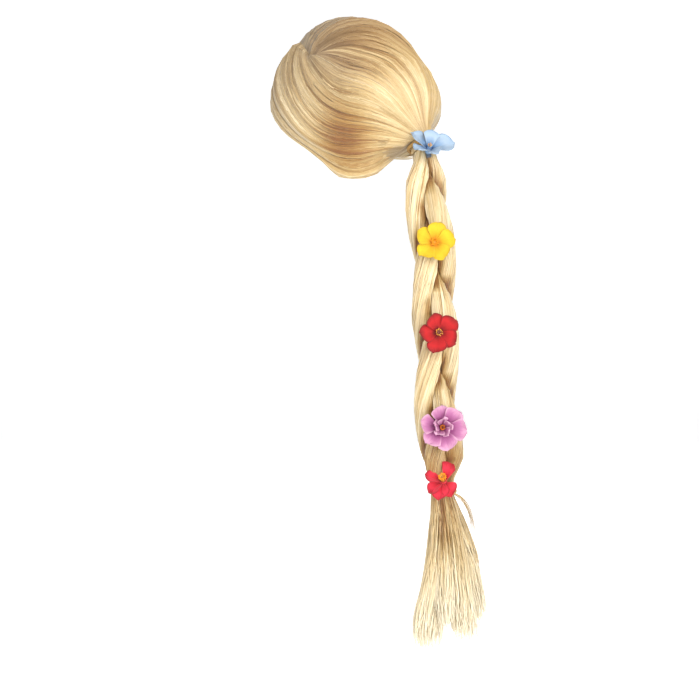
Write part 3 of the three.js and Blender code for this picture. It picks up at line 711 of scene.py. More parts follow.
def combedFibres(name, side, seed):
    form = fibreForm
    generator = np.random.default_rng(seed)
    count = form["count"] // 1
    clumps = form["clumps"]
    lastKnot = form["knots"] - 1
    edges = np.cumsum(generator.uniform(*form["clumpWidths"], clumps))
    edges = np.concatenate([[0], edges / edges[-1]])
    share = (np.arange(count) + generator.random(count)) / count  # spread evenly, then drawn into clumps
    clump = np.searchsorted(edges, share + generator.normal(0, form["stray"] / clumps, count)) - 1
    clump = np.clip(clump, 0, clumps - 1)
    middle = (edges[clump] + edges[clump + 1]) / 2
    late = generator.random(count) < form["late"]
    begin = np.where(late, generator.uniform(0, form["latest"], count), 0)
    evenly = np.linspace(0, 1, form["steps"]) ** form["firstSteps"]
    along = evenAlong(side, spreadLocks(share), begin, evenly)
    gathered = (generator.random(count) > form["loose"])[:, None]
    pinched = 1 - form["pinch"] * np.sin(np.pi * along) ** 2 * gathered
    knots = np.tile(np.linspace(0, 1, form["knots"]), (clumps, 1))
    spot = np.rint(along * lastKnot).astype(int)
    drift = smoothNoise(generator, clumps, form["driftKnots"], form["drift"] / clumps)(knots)
    drift = drift[clump[:, None], spot] * np.sin(np.pi * along) * gathered
    sway = smoothNoise(generator, count, form["swayKnots"], form["sway"])(along)
    lock = middle[:, None] + (share - middle)[:, None] * pinched + drift + sway
    high = generator.random(clumps) ** 2 * form["clumpLift"]
    raised = (high[clump] + generator.uniform(*form["lifts"], count))[:, None]
    lifted = np.where(gathered, raised, -form["looseDrop"]) * np.sin(np.pi * along) ** form["liftFade"]
    outer, _ = combedPoints(side, spreadLocks(lock), along, lifted)
    radius = tieForm["radius"] - generator.uniform(*form["throatInset"], count)
    ends = spreadLocks(lock[:, -1])
    throat = [throatPoints(side, ends, radius, shift) for shift in (-tieForm["above"], tieForm["below"])]
    lines = np.concatenate([outer, np.stack(throat, 1)], 1)
    evenly = np.concatenate([evenly, form["throatPlaces"]]) / form["throatPlaces"][-1]
    place = mix(begin[:, None], 1, evenly)
    taper = mix(form["endGirth"], 1, np.sin(np.pi * np.clip(evenly, 0, 1)) ** form["endTaper"])
    girth = form["girth"] * generator.uniform(*form["girths"], count)[:, None] * taper
    pale = np.where(generator.random(count) < form["paleShare"], form["pale"], 0)
    clumpTone = generator.normal(0, form["clumpTone"], clumps)[clump]
    ownTone = form["tone"] + clumpTone + generator.normal(0, form["ownTone"], count) + pale
    # painted shade: rootShade on the crown and bandShade near the band
    shade = rootShade(side, share[:, None], place) + form["bandShade"] * ease(place, *form["bandPlaces"])
    streak = smoothNoise(generator, clumps, form["streakKnots"], form["streakTone"])(knots)
    streak = streak[clump[:, None], np.rint(np.clip(place, 0, 1) * lastKnot).astype(int)]
    # painted shade: a darker brown patch low on the left
    low = np.exp(-((lines - form["lowPlace"]) ** 2).sum(-1) / form["lowReach"] ** 2) * form["lowShade"]
    # partly painted rim light: paler fibres along the hairline
    edge = form["edgePale"] * (1 - ease(share, 0, form["edgeWidth"]))[:, None]
    makeFibres(name, lines, girth, ownTone[:, None] - shade + streak - low + edge, place)


combedFibres("hair_fibres_left", 1, fibreForm["seed"])
combedFibres("hair_fibres_right", -1, fibreForm["seed"] + 1)
print("combed fibres done")


# plait: three strands that cross in turn

plaitForm = {
    "line": np.array([(132, -214), (141, -291), (147, -380), (148, -468), (153, -530), (157, -580)], float),
    "broadFace": np.array([math.sqrt(0.5), math.sqrt(0.5), 0]),
    "tiedSpread": 7,
    "spread": 14,
    "depth": 9.5,
    "tiedRadius": 6.5,
    "halfWidth": 12.6,
    "halfThick": 10.4,
    "between": 2.1,
    "settle": 0.1,
    "firstTurn": 0.22,
    "pitch": 354,
    "gap": 0.35,
    "shadow": (1.0, 2.0),  # how near the strand above darkens the one below, in its own radii
    "tuckFade": 0.8,
    "leastTowards": 0.01,
    "curveSteps": 60,
    "frameStep": 0.002,
}


def plaitCurve():  # a smooth line through the points, evenly spaced
    top = tieForm["place"] + tieForm["axis"] * (tieForm["below"] + plaitForm["gap"])
    knots = np.vstack([top, np.insert(plaitForm["line"], 0, 0, axis=1)])
    knots = np.vstack([2 * knots[0] - knots[1], knots, 2 * knots[-1] - knots[-2]])
    fine = np.linspace(0, 1, plaitForm["curveSteps"], endpoint=False)[:, None]
    parts = []
    for a, b, c, d in zip(knots, knots[1:], knots[2:], knots[3:]):
        first, second, third = (math.sqrt(np.linalg.norm(q - p)) for p, q in ((a, b), (b, c), (c, d)))
        startSlope = ((b - a) / first - (c - a) / (first + second) + (c - b) / second) * second
        endSlope = ((c - b) / second - (d - b) / (second + third) + (d - c) / third) * second
        square = -3 * b + 3 * c - 2 * startSlope - endSlope
        cube = 2 * b - 2 * c + startSlope + endSlope
        parts.append(b + startSlope * fine + square * fine ** 2 + cube * fine ** 3)
    line = np.vstack(parts + [knots[-2:-1]])
    length = np.concatenate([[0], np.cumsum(np.linalg.norm(np.diff(line, axis=0), axis=1))])
    return line, length


plaitPoints, plaitRun = plaitCurve()
plaitLength = plaitRun[-1]


def plaitAt(share):
    return np.stack([np.interp(share * plaitLength, plaitRun, plaitPoints[:, i]) for i in range(3)], -1)


def plaitFrame(share):
    share = np.asarray(share, float)
    small = plaitForm["frameStep"]
    tangent = unit(plaitAt(np.minimum(share + small, 1)) - plaitAt(np.maximum(share - small, 0)))
    settled = ease(share, 0, plaitForm["settle"])[..., None]
    along = unit(mix(tieForm["axis"], tangent, settled))
    face = plaitForm["broadFace"]
    out = unit(face - along * (along @ face)[..., None])
    return plaitAt(share), along, out, np.cross(out, along)


def strandSection(index, share):
    form = plaitForm
    opened = ease(share, 0, form["settle"]) * ease(1 - share, 0, form["settle"])
    turn = 2 * np.pi * (form["firstTurn"] + share * plaitLength / form["pitch"] + index / 3)
    aside = mix(form["tiedSpread"], form["spread"], opened) * np.sin(turn)
    out = mix(form["tiedSpread"], form["depth"], opened) * np.sin(2 * turn)
    halfWidth = mix(form["tiedRadius"], form["halfWidth"], opened)
    halfThick = mix(form["tiedRadius"], form["halfThick"], opened)
    return aside, out, halfWidth, halfThick


def strandRadius(index, share, bearing):  # the strand's own radius and what its neighbours leave of it
    aside, out, halfWidth, halfThick = strandSection(index, share)
    full = 1 / np.hypot(np.cos(bearing) / halfWidth, np.sin(bearing) / halfThick)
    radius = full
    for other in range(3):
        if other == index:
            continue
        nextAside, nextOut, _, _ = strandSection(other, share)
        distance = np.hypot(nextAside - aside, nextOut - out)
        towards = np.cos(bearing - np.arctan2(nextOut - out, nextAside - aside))
        room = (distance - plaitForm["between"]) / 2
        least = plaitForm["leastTowards"]
        limit = np.minimum(radius, room / np.maximum(towards, least))
        radius = np.where(towards > least, limit, radius)
    return radius, full


def strandPoints(index, share, bearing, swell):
    share, bearing, swell = np.broadcast_arrays(share, bearing, swell)
    middle, _, out, aside = plaitFrame(share)
    sectionAside, sectionOut, _, _ = strandSection(index, share)
    radius, full = strandRadius(index, share, bearing)
    radius = radius * swell
    pointAside = sectionAside + radius * np.cos(bearing)
    pointOut = sectionOut + radius * np.sin(bearing)
    tucked = np.clip(1 - radius / full, 0, 1) ** plaitForm["tuckFade"]
    for other in range(3):
        nextAside, nextOut, nextWidth, nextThick = strandSection(other, share)
        near = np.hypot((pointAside - nextAside) / nextWidth, (pointOut - nextOut) / nextThick)
        under = ease((nextOut - sectionOut) * np.sin(bearing), 0, plaitForm["depth"])
        tucked = np.maximum(tucked, under * (1 - ease(near, *plaitForm["shadow"])))
    points = middle + aside * pointAside[..., None] + out * pointOut[..., None]
    return points, tucked


strandForm = {
    "steps": 110,
    "sides": 32,
    "coreShare": 0.94,
    # painted shade: the core under the fibres is dark, as the shade seen between them
    "coreTone": 0.14,
    "coreRipple": 0.05,
    "coreTwist": 9,
    "fibres": 400,
    "fibreSteps": 36,
    "twist": 1.1,
    "sway": 0.15,
    "swayKnots": 7,
    "bunches": 5,
    "bunchStart": 6,
    "bunchDraw": 0.16,
    "looseDraw": 0.4,  # share of that draw away from the band
    "tiedPlaces": (0.06, 0.22),
    "depth": 0.16,
    "swell": 0.035,
    "swellKnots": 9,
    "swellLimits": (0.8, 1.1),
    "girth": 0.64,
    "girths": (0.7, 1.3),
    "tone": 0.67,
    "ownTone": 0.08,
    "driftTone": 0.05,
    "driftKnots": 6,
    "bunchTone": 0.06,
    "tuckShade": 0.78,
    "slotShade": 0.3,
    "slotSharp": 3,
    "endShade": 0.34,  # browner above the lower band
    "endPlaces": (0.82, 0.92),
    "seed": 21,
}


def strandCore(index):
    form = strandForm
    share = np.linspace(0, 1, form["steps"])[:, None]
    bearing = np.linspace(0, 2 * np.pi, form["sides"], endpoint=False)[None]
    rings, _ = strandPoints(index, share, bearing, form["coreShare"])
    points, faces = tubeArrays(rings)
    ripple = np.sin(form["bunches"] * bearing + form["coreTwist"] * share)
    # painted shade: a dark core, seen as shade in the gaps between the fibres
    tone = form["coreTone"] + form["coreRipple"] * ripple
    place = mix(hairFinish["belowBand"], 1, share)
    uv = np.stack(np.broadcast_arrays(tone, place), -1).reshape(-1, 2)
    piece = makePiece(f"braid_strand_{index + 1}_core", points, faces, hairLook, uv=uv)
    settle(piece, "hair", f"braid_strand_{index + 1}")


def strandFibres(index):
    form = strandForm
    generator = np.random.default_rng(form["seed"] + index)
    count = form["fibres"] // 1
    share = np.tile(np.linspace(0, 1, form["fibreSteps"]), (count, 1))
    start = generator.uniform(0, 2 * np.pi, count)[:, None]
    bunch = np.sin(form["bunches"] * start + generator.uniform(0, form["bunchStart"]))
    tied = 1 - ease(share, *form["tiedPlaces"])
    sway = smoothNoise(generator, count, form["swayKnots"], form["sway"])(share)
    drawn = -form["bunchDraw"] * np.sin(form["bunches"] * start) * mix(form["looseDraw"], 1, tied)
    bearing = start + drawn + form["twist"] * 2 * np.pi * (share - 0.5) + sway
    depth = 1 - form["depth"] * generator.random(count)[:, None] ** 2
    swell = depth + smoothNoise(generator, count, form["swellKnots"], form["swell"])(share)
    lines, tucked = strandPoints(index, share, bearing, np.clip(swell, *form["swellLimits"]))
    girth = form["girth"] * generator.uniform(*form["girths"], count)[:, None] * np.ones_like(share)
    tone = form["tone"] + generator.normal(0, form["ownTone"], count)[:, None]
    tone = tone + smoothNoise(generator, count, form["driftKnots"], form["driftTone"])(share)
    tone = tone - form["tuckShade"] * tucked + form["bunchTone"] * bunch
    tone = tone - form["endShade"] * ease(share, *form["endPlaces"])
    slot = np.clip(np.cos(form["bunches"] * start), 0, 1) ** form["slotSharp"]
    tone = tone - form["slotShade"] * tied * slot
    place = mix(hairFinish["belowBand"], 1, share)
    makeFibres(f"braid_strand_{index + 1}_fibres", lines, girth, tone, place)


for index in range(3):
    strandCore(index)
    strandFibres(index)
print("plait done")


# loose tail below the lower band

tailForm = {
    "headRadius": 12,
    "headLength": 20,
    "rootShare": 0.4,
    "rootWidth": 0.5,
    "plumpAt": 0.67,
    "flatness": 0.8,
    "tipTaper": 0.85,
    "tipFade": 4,
    "hangFan": 2.2,
    "spreadFan": 0.9,
    "rootSpread": 0.2,
    "begin": -0.045,  # up inside the band
    "tieDrop": 3.2,
    # locks: aside, out, down, width
    "locks": np.array([
        (-33, 3, 172, 11),
        (-23, -9, 178, 12),
        (-5, 9, 148, 12),
        (7, -6, 161, 13),
        (17, 6, 168, 12),
        (30, -2, 148, 10),
    ], float),
    "steps": 30,
    "sides": 16,
    "coreShare": 0.82,
    "coreEnd": 0.97,
    # paler towards the tips: partly the hair's own colour, partly painted light where the thin ends glow
    "coreTone": 0.28,
    "coreTipTone": 0.72,
    "fibres": 215,  # in each lock
    "fibreSteps": 14,
    "reaches": (0.84, 1.05),
    "turnSway": 0.3,
    "turnKnots": 4,
    "fibreOut": 1.2,
    "outSway": 0.12,
    "outKnots": 5,
    "narrowest": 0.99,
    "splay": 0.8,
    "splayPlaces": (0.6, 1.05),
    "girth": 0.66,
    "girths": (0.6, 1.2),
    "endTaper": 0.4,
    "tone": 0.38,
    # paler towards the tips: partly the hair's own colour, partly painted light where the thin ends glow
    "tipTone": 0.66,
    "contrast": (0.13, 0.03),  # between fibres, at the band and at the tips
    "streakShade": 0.36,
    "streakWidth": 14,
    "streakPlaces": (0.2, 0.68),
    "seed": 40,
}

# a stray wisp beside the tail
wispForm = {
    "line": np.array([(8, 4), (20, 12), (30, 30), (35, 62)], float),  # aside, down
    "fibres": 10,
    "reaches": (0.75, 1.1),
    "spread": 1.2,
    "spreadAt": 60,
    "girths": (0.7, 0.2),
    "tone": 0.42,
}

plaitEnd, endAlong, endOut, endAside = (part[0] for part in plaitFrame(np.array([1.0])))
tailTop = plaitEnd + endAlong * plaitForm["gap"]


def tailPoints(lock, share, acrossAside, acrossOut):
    form = tailForm
    aside, out, down, width = lock
    held = np.clip(share, 0, 1)
    power = form["hangFan"] if aside < 0 else form["spreadFan"]
    fan = mix(form["rootSpread"], 1, np.sin(np.pi / 2 * held ** power))
    plump = np.sin(np.pi / 2 * np.minimum(share / form["plumpAt"], 1))
    radius = width * mix(form["rootWidth"], 1, plump) * (1 - form["tipTaper"] * held ** form["tipFade"])
    middle = (tailTop + endAlong * mix(form["headLength"] * form["rootShare"], down, share)[..., None]
              + endAside * (aside * fan)[..., None] + endOut * (out * fan)[..., None])
    return (middle + endAside * (radius * acrossAside)[..., None]
            + endOut * (form["flatness"] * radius * acrossOut)[..., None])


def tailCore():
    form = tailForm
    share = np.linspace(form["begin"], form["coreEnd"], form["steps"])[:, None]
    bearing = np.linspace(0, 2 * np.pi, form["sides"], endpoint=False)[None]
    share, bearing = np.broadcast_arrays(share, bearing)
    across = form["coreShare"] * np.cos(bearing), form["coreShare"] * np.sin(bearing)
    # partly painted light: the core pales towards the glowing tips
    tone = form["coreTone"] + form["coreTipTone"] * share
    lockUv = np.stack([tone, mix(hairFinish["belowBand"], 1, share)], -1).reshape(-1, 2)
    points, faces = [], []
    for lock in form["locks"]:
        lockPoints, lockFaces = tubeArrays(tailPoints(lock, share, *across))
        addPart(points, faces, lockPoints, lockFaces)
    uv = np.tile(lockUv, (len(form["locks"]), 1))
    piece = makePiece("braid_tail_core", np.vstack(points), faces, hairLook, uv=uv)
    settle(piece, "hair", "braid_tail")


def lockFibres(generator, lock):
    form = tailForm
    count = form["fibres"] // 1
    reach = generator.uniform(*form["reaches"], count)[:, None]
    share = mix(form["begin"], reach, np.linspace(0, 1, form["fibreSteps"])[None])
    held = np.clip(share, 0, 1)
    bearing = generator.uniform(0, 2 * np.pi, count)[:, None]
    bearing = bearing + smoothNoise(generator, count, form["turnKnots"], form["turnSway"])(share)
    out = (form["fibreOut"] * generator.random(count) ** 0.5)[:, None]
    out = out + smoothNoise(generator, count, form["outKnots"], form["outSway"])(share)
    narrowed = 1 - form["tipTaper"] * np.clip(share, 0, form["narrowest"]) ** form["tipFade"]
    out = out * (1 + form["splay"] * ease(share, *form["splayPlaces"]) / narrowed)
    lines = tailPoints(lock, share, out * np.cos(bearing), out * np.sin(bearing))
    taper = 1 - form["endTaper"] * held ** 3
    girth = form["girth"] * generator.uniform(*form["girths"], count)[:, None] * taper
    middle = math.exp(-(lock[0] / form["streakWidth"]) ** 2)
    streak = form["streakShade"] * middle * (1 - ease(share, *form["streakPlaces"]))
    tone = form["tone"] + generator.normal(0, 1, count)[:, None] * mix(*form["contrast"], held)
    # partly painted light: the fibres pale towards the glowing tips
    return lines, girth, tone + form["tipTone"] * share - streak, share


def wispFibres(generator):
    form = wispForm
    shape = form["fibres"], tailForm["fibreSteps"]
    lineAside, lineDown = form["line"].T
    down = np.linspace(lineDown[0], lineDown[-1], shape[1])
    aside = readTable(lineDown, lineAside, down)
    down = down * generator.uniform(*form["reaches"], (form["fibres"], 1))
    spread = generator.normal(0, form["spread"], (form["fibres"], 2, 1))
    spread = spread * ease(down, 0, form["spreadAt"])[:, None]
    lines = (tailTop + endAlong * down[..., None] + endAside * (aside + spread[:, 0])[..., None]
             + endOut * spread[:, 1][..., None])
    girth = tailForm["girth"] * np.linspace(*form["girths"], shape[1]) * np.ones(shape)
    return lines, girth, np.full(shape, form["tone"]), np.tile(np.linspace(0, 1, shape[1]), (shape[0], 1))


def tailFibres():
    generator = np.random.default_rng(tailForm["seed"])
    parts = [lockFibres(generator, lock) for lock in tailForm["locks"]] + [wispFibres(generator)]
    lines, girth, tone, share = (np.vstack(values) for values in zip(*parts))
    place = mix(hairFinish["belowBand"], 1, np.clip(share, 0, 1))
    makeFibres("braid_tail_fibres", lines, girth, tone, place)


tailCore()
tailFibres()
print("tail done")


# bands of twisted elastic

bandForm = {"plies": 3, "twists": 22, "ply": 0.16, "around": 168, "sides": 18}

bandFinish = {"knitScale": 900.0, "knitDetail": 3.0, "bump": 0.6, "bumpDepth": 0.0004}


def bandMaterial():
    form = bandFinish
    material, tree, shader = newMaterial("band_elastic", Roughness=0.75)
    knit = addNoise(tree, objectPlace(tree), form["knitScale"], form["knitDetail"])
    addColour(tree, shader, knit, [(0.3, srgb(128, 92, 42)), (0.7, srgb(184, 146, 82))])
    addBump(tree, shader, knit, form["bump"], form["bumpDepth"])
    return material


bandLook = bandMaterial()


def twistedBand(name, node, middle, axis, holdRadius):
    form = bandForm
    wire = tieForm["wire"]
    radius = holdRadius + plaitForm["gap"] + wire
    around, sides = form["around"], form["sides"]
    turn = np.linspace(0, 2 * np.pi, around, endpoint=False)[:, None]
    bearing = np.linspace(0, 2 * np.pi, sides, endpoint=False)[None]
    ply = np.abs(np.cos((form["plies"] * bearing + form["twists"] * turn) / 2))
    thick = wire * (1 - form["ply"] * (1 - ply))
    across = unit(np.cross(axis, [1.0, 0, 0]))
    beside = np.cross(axis, across)
    outward = across * np.cos(turn)[..., None] + beside * np.sin(turn)[..., None]
    rings = middle + outward * (radius + thick * np.cos(bearing))[..., None]
    rings = rings + axis * (thick * np.sin(bearing))[..., None]
    row, column = np.meshgrid(np.arange(around) * sides, np.arange(sides), indexing="ij")
    nextRow, nextColumn = (row + sides) % (around * sides), (column + 1) % sides
    corners = [row + column, row + nextColumn, nextRow + nextColumn, nextRow + column]
    piece = makePiece(name, rings.reshape(-1, 3), np.stack(corners, -1).reshape(-1, 4).tolist(), bandLook)
    settle(piece, "hair_tie", node)


tailTie = tailTop + endAlong * tailForm["tieDrop"]
twistedBand("band_top", "hair_tie_top", tieForm["place"], tieForm["axis"], tieForm["radius"])
twistedBand("band_bottom", "hair_tie_bottom", tailTie, endAlong, tailForm["headRadius"])
print("bands done")


# cap of net with rows of stitching, under the hair

capForm = {
    "wall": 1.6,
    "columns": 120,
    "rows": 56,
    "firstDrop": 20.0,
    "dropStep": 0.5,
    "dropTries": 400,
    "ridges": 13,
    "ridgeHeight": 0.4,
    "ridgeSharp": 4,
    "ridgeStart": (0.02, 0.1),
    "hem": 0.1,  # share of the rows that is the hem
    "hemRise": 0.02,
    "hemSwell": 0.5,
    # edge from the face round to the nape: turn, height
    "edge": np.array([(0, -36), (40, -62), (65, -98), (95, -128), (130, -150), (180, -168)], float),
    "mapTurn": 1.9,
    "mapDrop": 0.45,
}

capFinish = {"cellScale": 150.0, "cellStray": 0.15, "bump": 0.5, "bumpDepth": 0.0006}


def capMaterial():
    form = capFinish
    material, tree, shader = newMaterial("cap_net", Roughness=0.8)
    cells = addNode(tree, "ShaderNodeTexVoronoi", {
        "Vector": mapPlace(tree, "net"), "Scale": form["cellScale"], "Randomness": form["cellStray"],
    }, feature="DISTANCE_TO_EDGE").outputs["Distance"]
    addColour(tree, shader, cells, [(0.05, srgb(206, 172, 122)), (0.2, srgb(128, 92, 52))])
    addBump(tree, shader, addMath(tree, "SUBTRACT", 1.0, cells), form["bump"], form["bumpDepth"])
    return material


def capPoints(turn, drop, offset):
    level = np.sin(drop)
    directions = np.stack(np.broadcast_arrays(np.sin(turn) * level, -np.cos(turn) * level, np.cos(drop)), -1)
    centre = headForm["middle"]
    return centre + directions * (reachOf(headField, centre, directions, 0) + offset)[..., None]


def netCap():
    form = capForm
    rows, columns = form["rows"], form["columns"]
    turn = np.linspace(0, 2 * np.pi, columns, endpoint=False)
    folded = np.degrees(np.minimum(turn, 2 * np.pi - turn))
    edge = readTable(form["edge"][:, 0], form["edge"][:, 1], folded)
    drop = np.full(columns, math.radians(form["firstDrop"]))
    for _ in range(form["dropTries"]):
        high = capPoints(turn, drop, 0.0)[..., 2] > edge
        drop = drop + math.radians(form["dropStep"]) * high
    down = np.linspace(0, 1, rows)[:, None]
    ridge = np.clip(np.cos(2 * np.pi * form["ridges"] * down), 0, 1) ** form["ridgeSharp"]
    ridge = ridge * ease(down, *form["ridgeStart"])
    hem = ease(down, 1 - form["hem"], 1 - form["hem"] + form["hemRise"])
    inner = capPoints(turn[None], down * drop, -form["ridgeHeight"] * ridge * (1 - hem))
    outer = capPoints(turn[None], down * drop, form["wall"] + form["hemSwell"] * hem)
    wrapped = [np.concatenate([side, side[:, :1]], 1).reshape(-1, 3) for side in (outer, inner)]
    first = rows * (columns + 1)  # inner points follow the outer ones
    faces = gridFaces(rows, columns + 1) + [face[::-1] for face in gridFaces(rows, columns + 1, first)]
    last = np.arange(columns + 1) + (rows - 1) * (columns + 1)
    faces += stripFaces(last.tolist(), (last + first).tolist())
    around = np.linspace(0, 1, columns + 1)[None] * np.sin(down * form["mapTurn"])
    uv = np.stack(np.broadcast_arrays(around, down * form["mapDrop"]), -1).reshape(-1, 2)
    piece = makePiece("net_cap", np.vstack(wrapped), faces, capMaterial(), "net", np.vstack([uv, uv]))
    settle(piece, "cap_net", "cap")


netCap()
print("cap done")


# cloth flowers: a petal is its turn round the flower, its angle at the root, its angle at the tip, its size

petalForm = {
    "root": 1.6,
    "length": 23,
    "halfWidth": 10.5,
    "widen": 1.04,
    "overlap": 1,  # degrees past an even share of the round
    "lap": 2.0,
    "lapPlaces": (0.1, 0.6),
    "cup": 0.26,
    "rootRound": 0.06,
    "tipRound": 0.985,
    "broadest": 1.9,
    "waves": (2.2, 5),
    "secondWave": 0.5,
    "middleRuffle": 0.35,
    "crease": 0.5,
    "creaseWidth": 0.16,
    "creaseFade": 0.5,
    "tipSharp": 1.5,
    "tipLength": 5,
    "cloth": 0.5,
    "columns": 17,
    "rows": 19,
    "calyx": 4,
    "gap": 0.35,
}

# colours run from the throat to the rim: the dark throats and darker rims are partly the cloth's own colour,
# partly painted shade
flowerForms = [
    {
        "name": "flower_blue", "slot": "cloth_blue", "up": -188, "facing": (0.2, 0.5, 0.85),
        "petals": [(8, 28, 5, 1.28), (76, 50, 40, 0.95), (144, 38, 15, 1.15), (212, 34, 8, 1),
                   (288, 40, 15, 0.85)],
        "inner": [], "ruffle": 0.5, "notch": 0.0, "point": 2.2, "cut": (54, 54),
        "colours": [srgb(42, 76, 120), srgb(114, 145, 180), srgb(162, 180, 198), srgb(148, 171, 194)],
        "stamens": {"count": 7, "ring": 1.5, "lean": 14, "length": 4.2, "anther": 0.75},
        "centre": [srgb(70, 105, 150), srgb(225, 225, 200), srgb(214, 150, 60)],
    },
    {
        "name": "flower_yellow", "slot": "cloth_yellow", "up": -296, "facing": (0, 0.05, 1),
        "petals": [(12, 30, 0, 1.02), (80, 30, 5, 1), (154, 32, 5, 1), (228, 32, 5, 1.04), (300, 32, 5, 1)],
        "inner": [], "ruffle": 0.6, "notch": 0.8, "point": 0.0, "cut": (50, 50),
        "colours": [srgb(208, 128, 4), srgb(208, 162, 12), srgb(212, 180, 24), srgb(202, 166, 16)],
        "stamens": {"count": 24, "ring": 2.5, "lean": 34, "length": 3.2, "anther": 0.7},
        "centre": [srgb(212, 134, 8), srgb(228, 180, 34), srgb(222, 144, 12)],
    },
    {
        "name": "flower_red", "slot": "cloth_red", "up": -398, "facing": (0, 0.05, 1),
        "petals": [(38, 30, 5, 1.04), (112, 36, 12, 0.96), (187, 34, 10, 0.98), (260, 32, 5, 1.06),
                   (328, 32, 8, 1)],
        "inner": [], "ruffle": 0.5, "notch": 0.5, "point": 0.0, "cut": (50, 50),
        "colours": [srgb(106, 1, 4), srgb(162, 6, 10), srgb(182, 13, 18), srgb(128, 3, 6)],
        "stamens": {"count": 15, "ring": 2.5, "lean": 20, "length": 5, "anther": 0.62},
        "centre": [srgb(92, 14, 8), srgb(246, 222, 160), srgb(226, 160, 60)],
    },
    {
        "name": "flower_purple", "slot": "cloth_purple", "up": -508, "facing": (0, 0.05, 1),
        "petals": [(97, 30, 2, 1.06), (45, 28, 0, 1.16), (168, 30, 2, 1.1), (228, 30, 2, 1.1),
                   (288, 28, 0, 1.14), (352, 26, -2, 1.22)],
        "inner": [(20, 64, 52, 0.7), (92, 64, 56, 0.72), (164, 64, 52, 0.7), (236, 64, 56, 0.72),
                  (308, 64, 52, 0.7)],
        "ruffle": 1.1, "notch": 0.3, "point": 0.0, "cut": (58, 98),
        "colours": [srgb(104, 28, 74), srgb(146, 66, 120), srgb(173, 104, 147), srgb(204, 152, 178)],
        "stamens": {"count": 12, "ring": 1.9, "lean": 12, "length": 4, "anther": 0.8},
        "centre": [srgb(108, 40, 20), srgb(222, 150, 60), srgb(206, 112, 30)],
    },
    {
        "name": "flower_red_low", "slot": "cloth_coral", "up": -571, "facing": (-0.25, 0.75, 0.6),
        "petals": [(50, 60, 52, 1.05), (180, 38, 14, 0.95), (224, 12, -40, 0.95), (268, 12, -45, 1),
                   (312, 12, -45, 0.9)],
        "inner": [], "ruffle": 0.6, "notch": 0.5, "point": 0.0, "cut": (50, 50),
        "colours": [srgb(146, 6, 24), srgb(204, 28, 48), srgb(222, 44, 68), srgb(176, 16, 36)],
        "stamens": {"count": 28, "ring": 2.3, "lean": 18, "length": 6.5, "anther": 0.7},
        "centre": [srgb(150, 40, 14), srgb(250, 190, 60), srgb(244, 152, 24)],
    },
]

clothFinish = {
    "veinScale": (24.0, 1.6, 1.0),
    "veinDetail": 3.0,
    "veinTone": 0.26,
    "veinBump": 3.0,
    "blotchScale": 110.0,
    "blotchDetail": 2.0,
    "blotchTone": 0.3,
    "edgeSharp": 6.0,
    "edgeTone": 0.4,
    "colourPlaces": (0.14, 0.36, 0.7, 1.0),  # from a petal's root to its rim; the dark throat and rim colours are partly the cloth's own, partly painted shade
    "weaveScale": 9.0,
    "bump": 0.5,
    "bumpDepth": 0.00025,
}


def clothMaterial(name, colours):
    form = clothFinish
    material, tree, shader = newMaterial(name, Roughness=0.78, Sheen_Weight=0.15, Sheen_Roughness=0.4)
    place = mapPlace(tree, "cloth")
    axes = addNode(tree, "ShaderNodeSeparateXYZ", {"Vector": place})
    stretched = addNode(tree, "ShaderNodeMapping", {"Vector": place, "Scale": form["veinScale"]})
    veins = addNoise(tree, stretched.outputs[0], 1.0, form["veinDetail"])
    blotch = addNoise(tree, objectPlace(tree), form["blotchScale"], form["blotchDetail"])
    streak = addShift(tree, veins, form["veinTone"])
    drift = addMath(tree, "ADD", streak, addShift(tree, blotch, form["blotchTone"]))
    # painted shade: the petal's sides shift towards the darker rim colour, so that neighbouring petals stand
    # apart
    aside = addShift(tree, axes.outputs["X"], 2.0)
    edge = addMath(tree, "POWER", aside, form["edgeSharp"])
    rim = addMath(tree, "MULTIPLY_ADD", edge, form["edgeTone"], axes.outputs["Y"])
    share = addMath(tree, "ADD", rim, drift)
    addColour(tree, shader, share, list(zip(form["colourPlaces"], colours)))
    threads = {"Vector": place, "Scale": form["weaveScale"]}
    warp = addNode(tree, "ShaderNodeTexWave", threads, bands_direction="X")
    weft = addNode(tree, "ShaderNodeTexWave", threads, bands_direction="Y")
    weave = addMath(tree, "MULTIPLY", warp.outputs["Fac"], weft.outputs["Fac"])
    ribs = addMath(tree, "MULTIPLY_ADD", veins, form["veinBump"], weave)
    addBump(tree, shader, ribs, form["bump"], form["bumpDepth"])
    return material


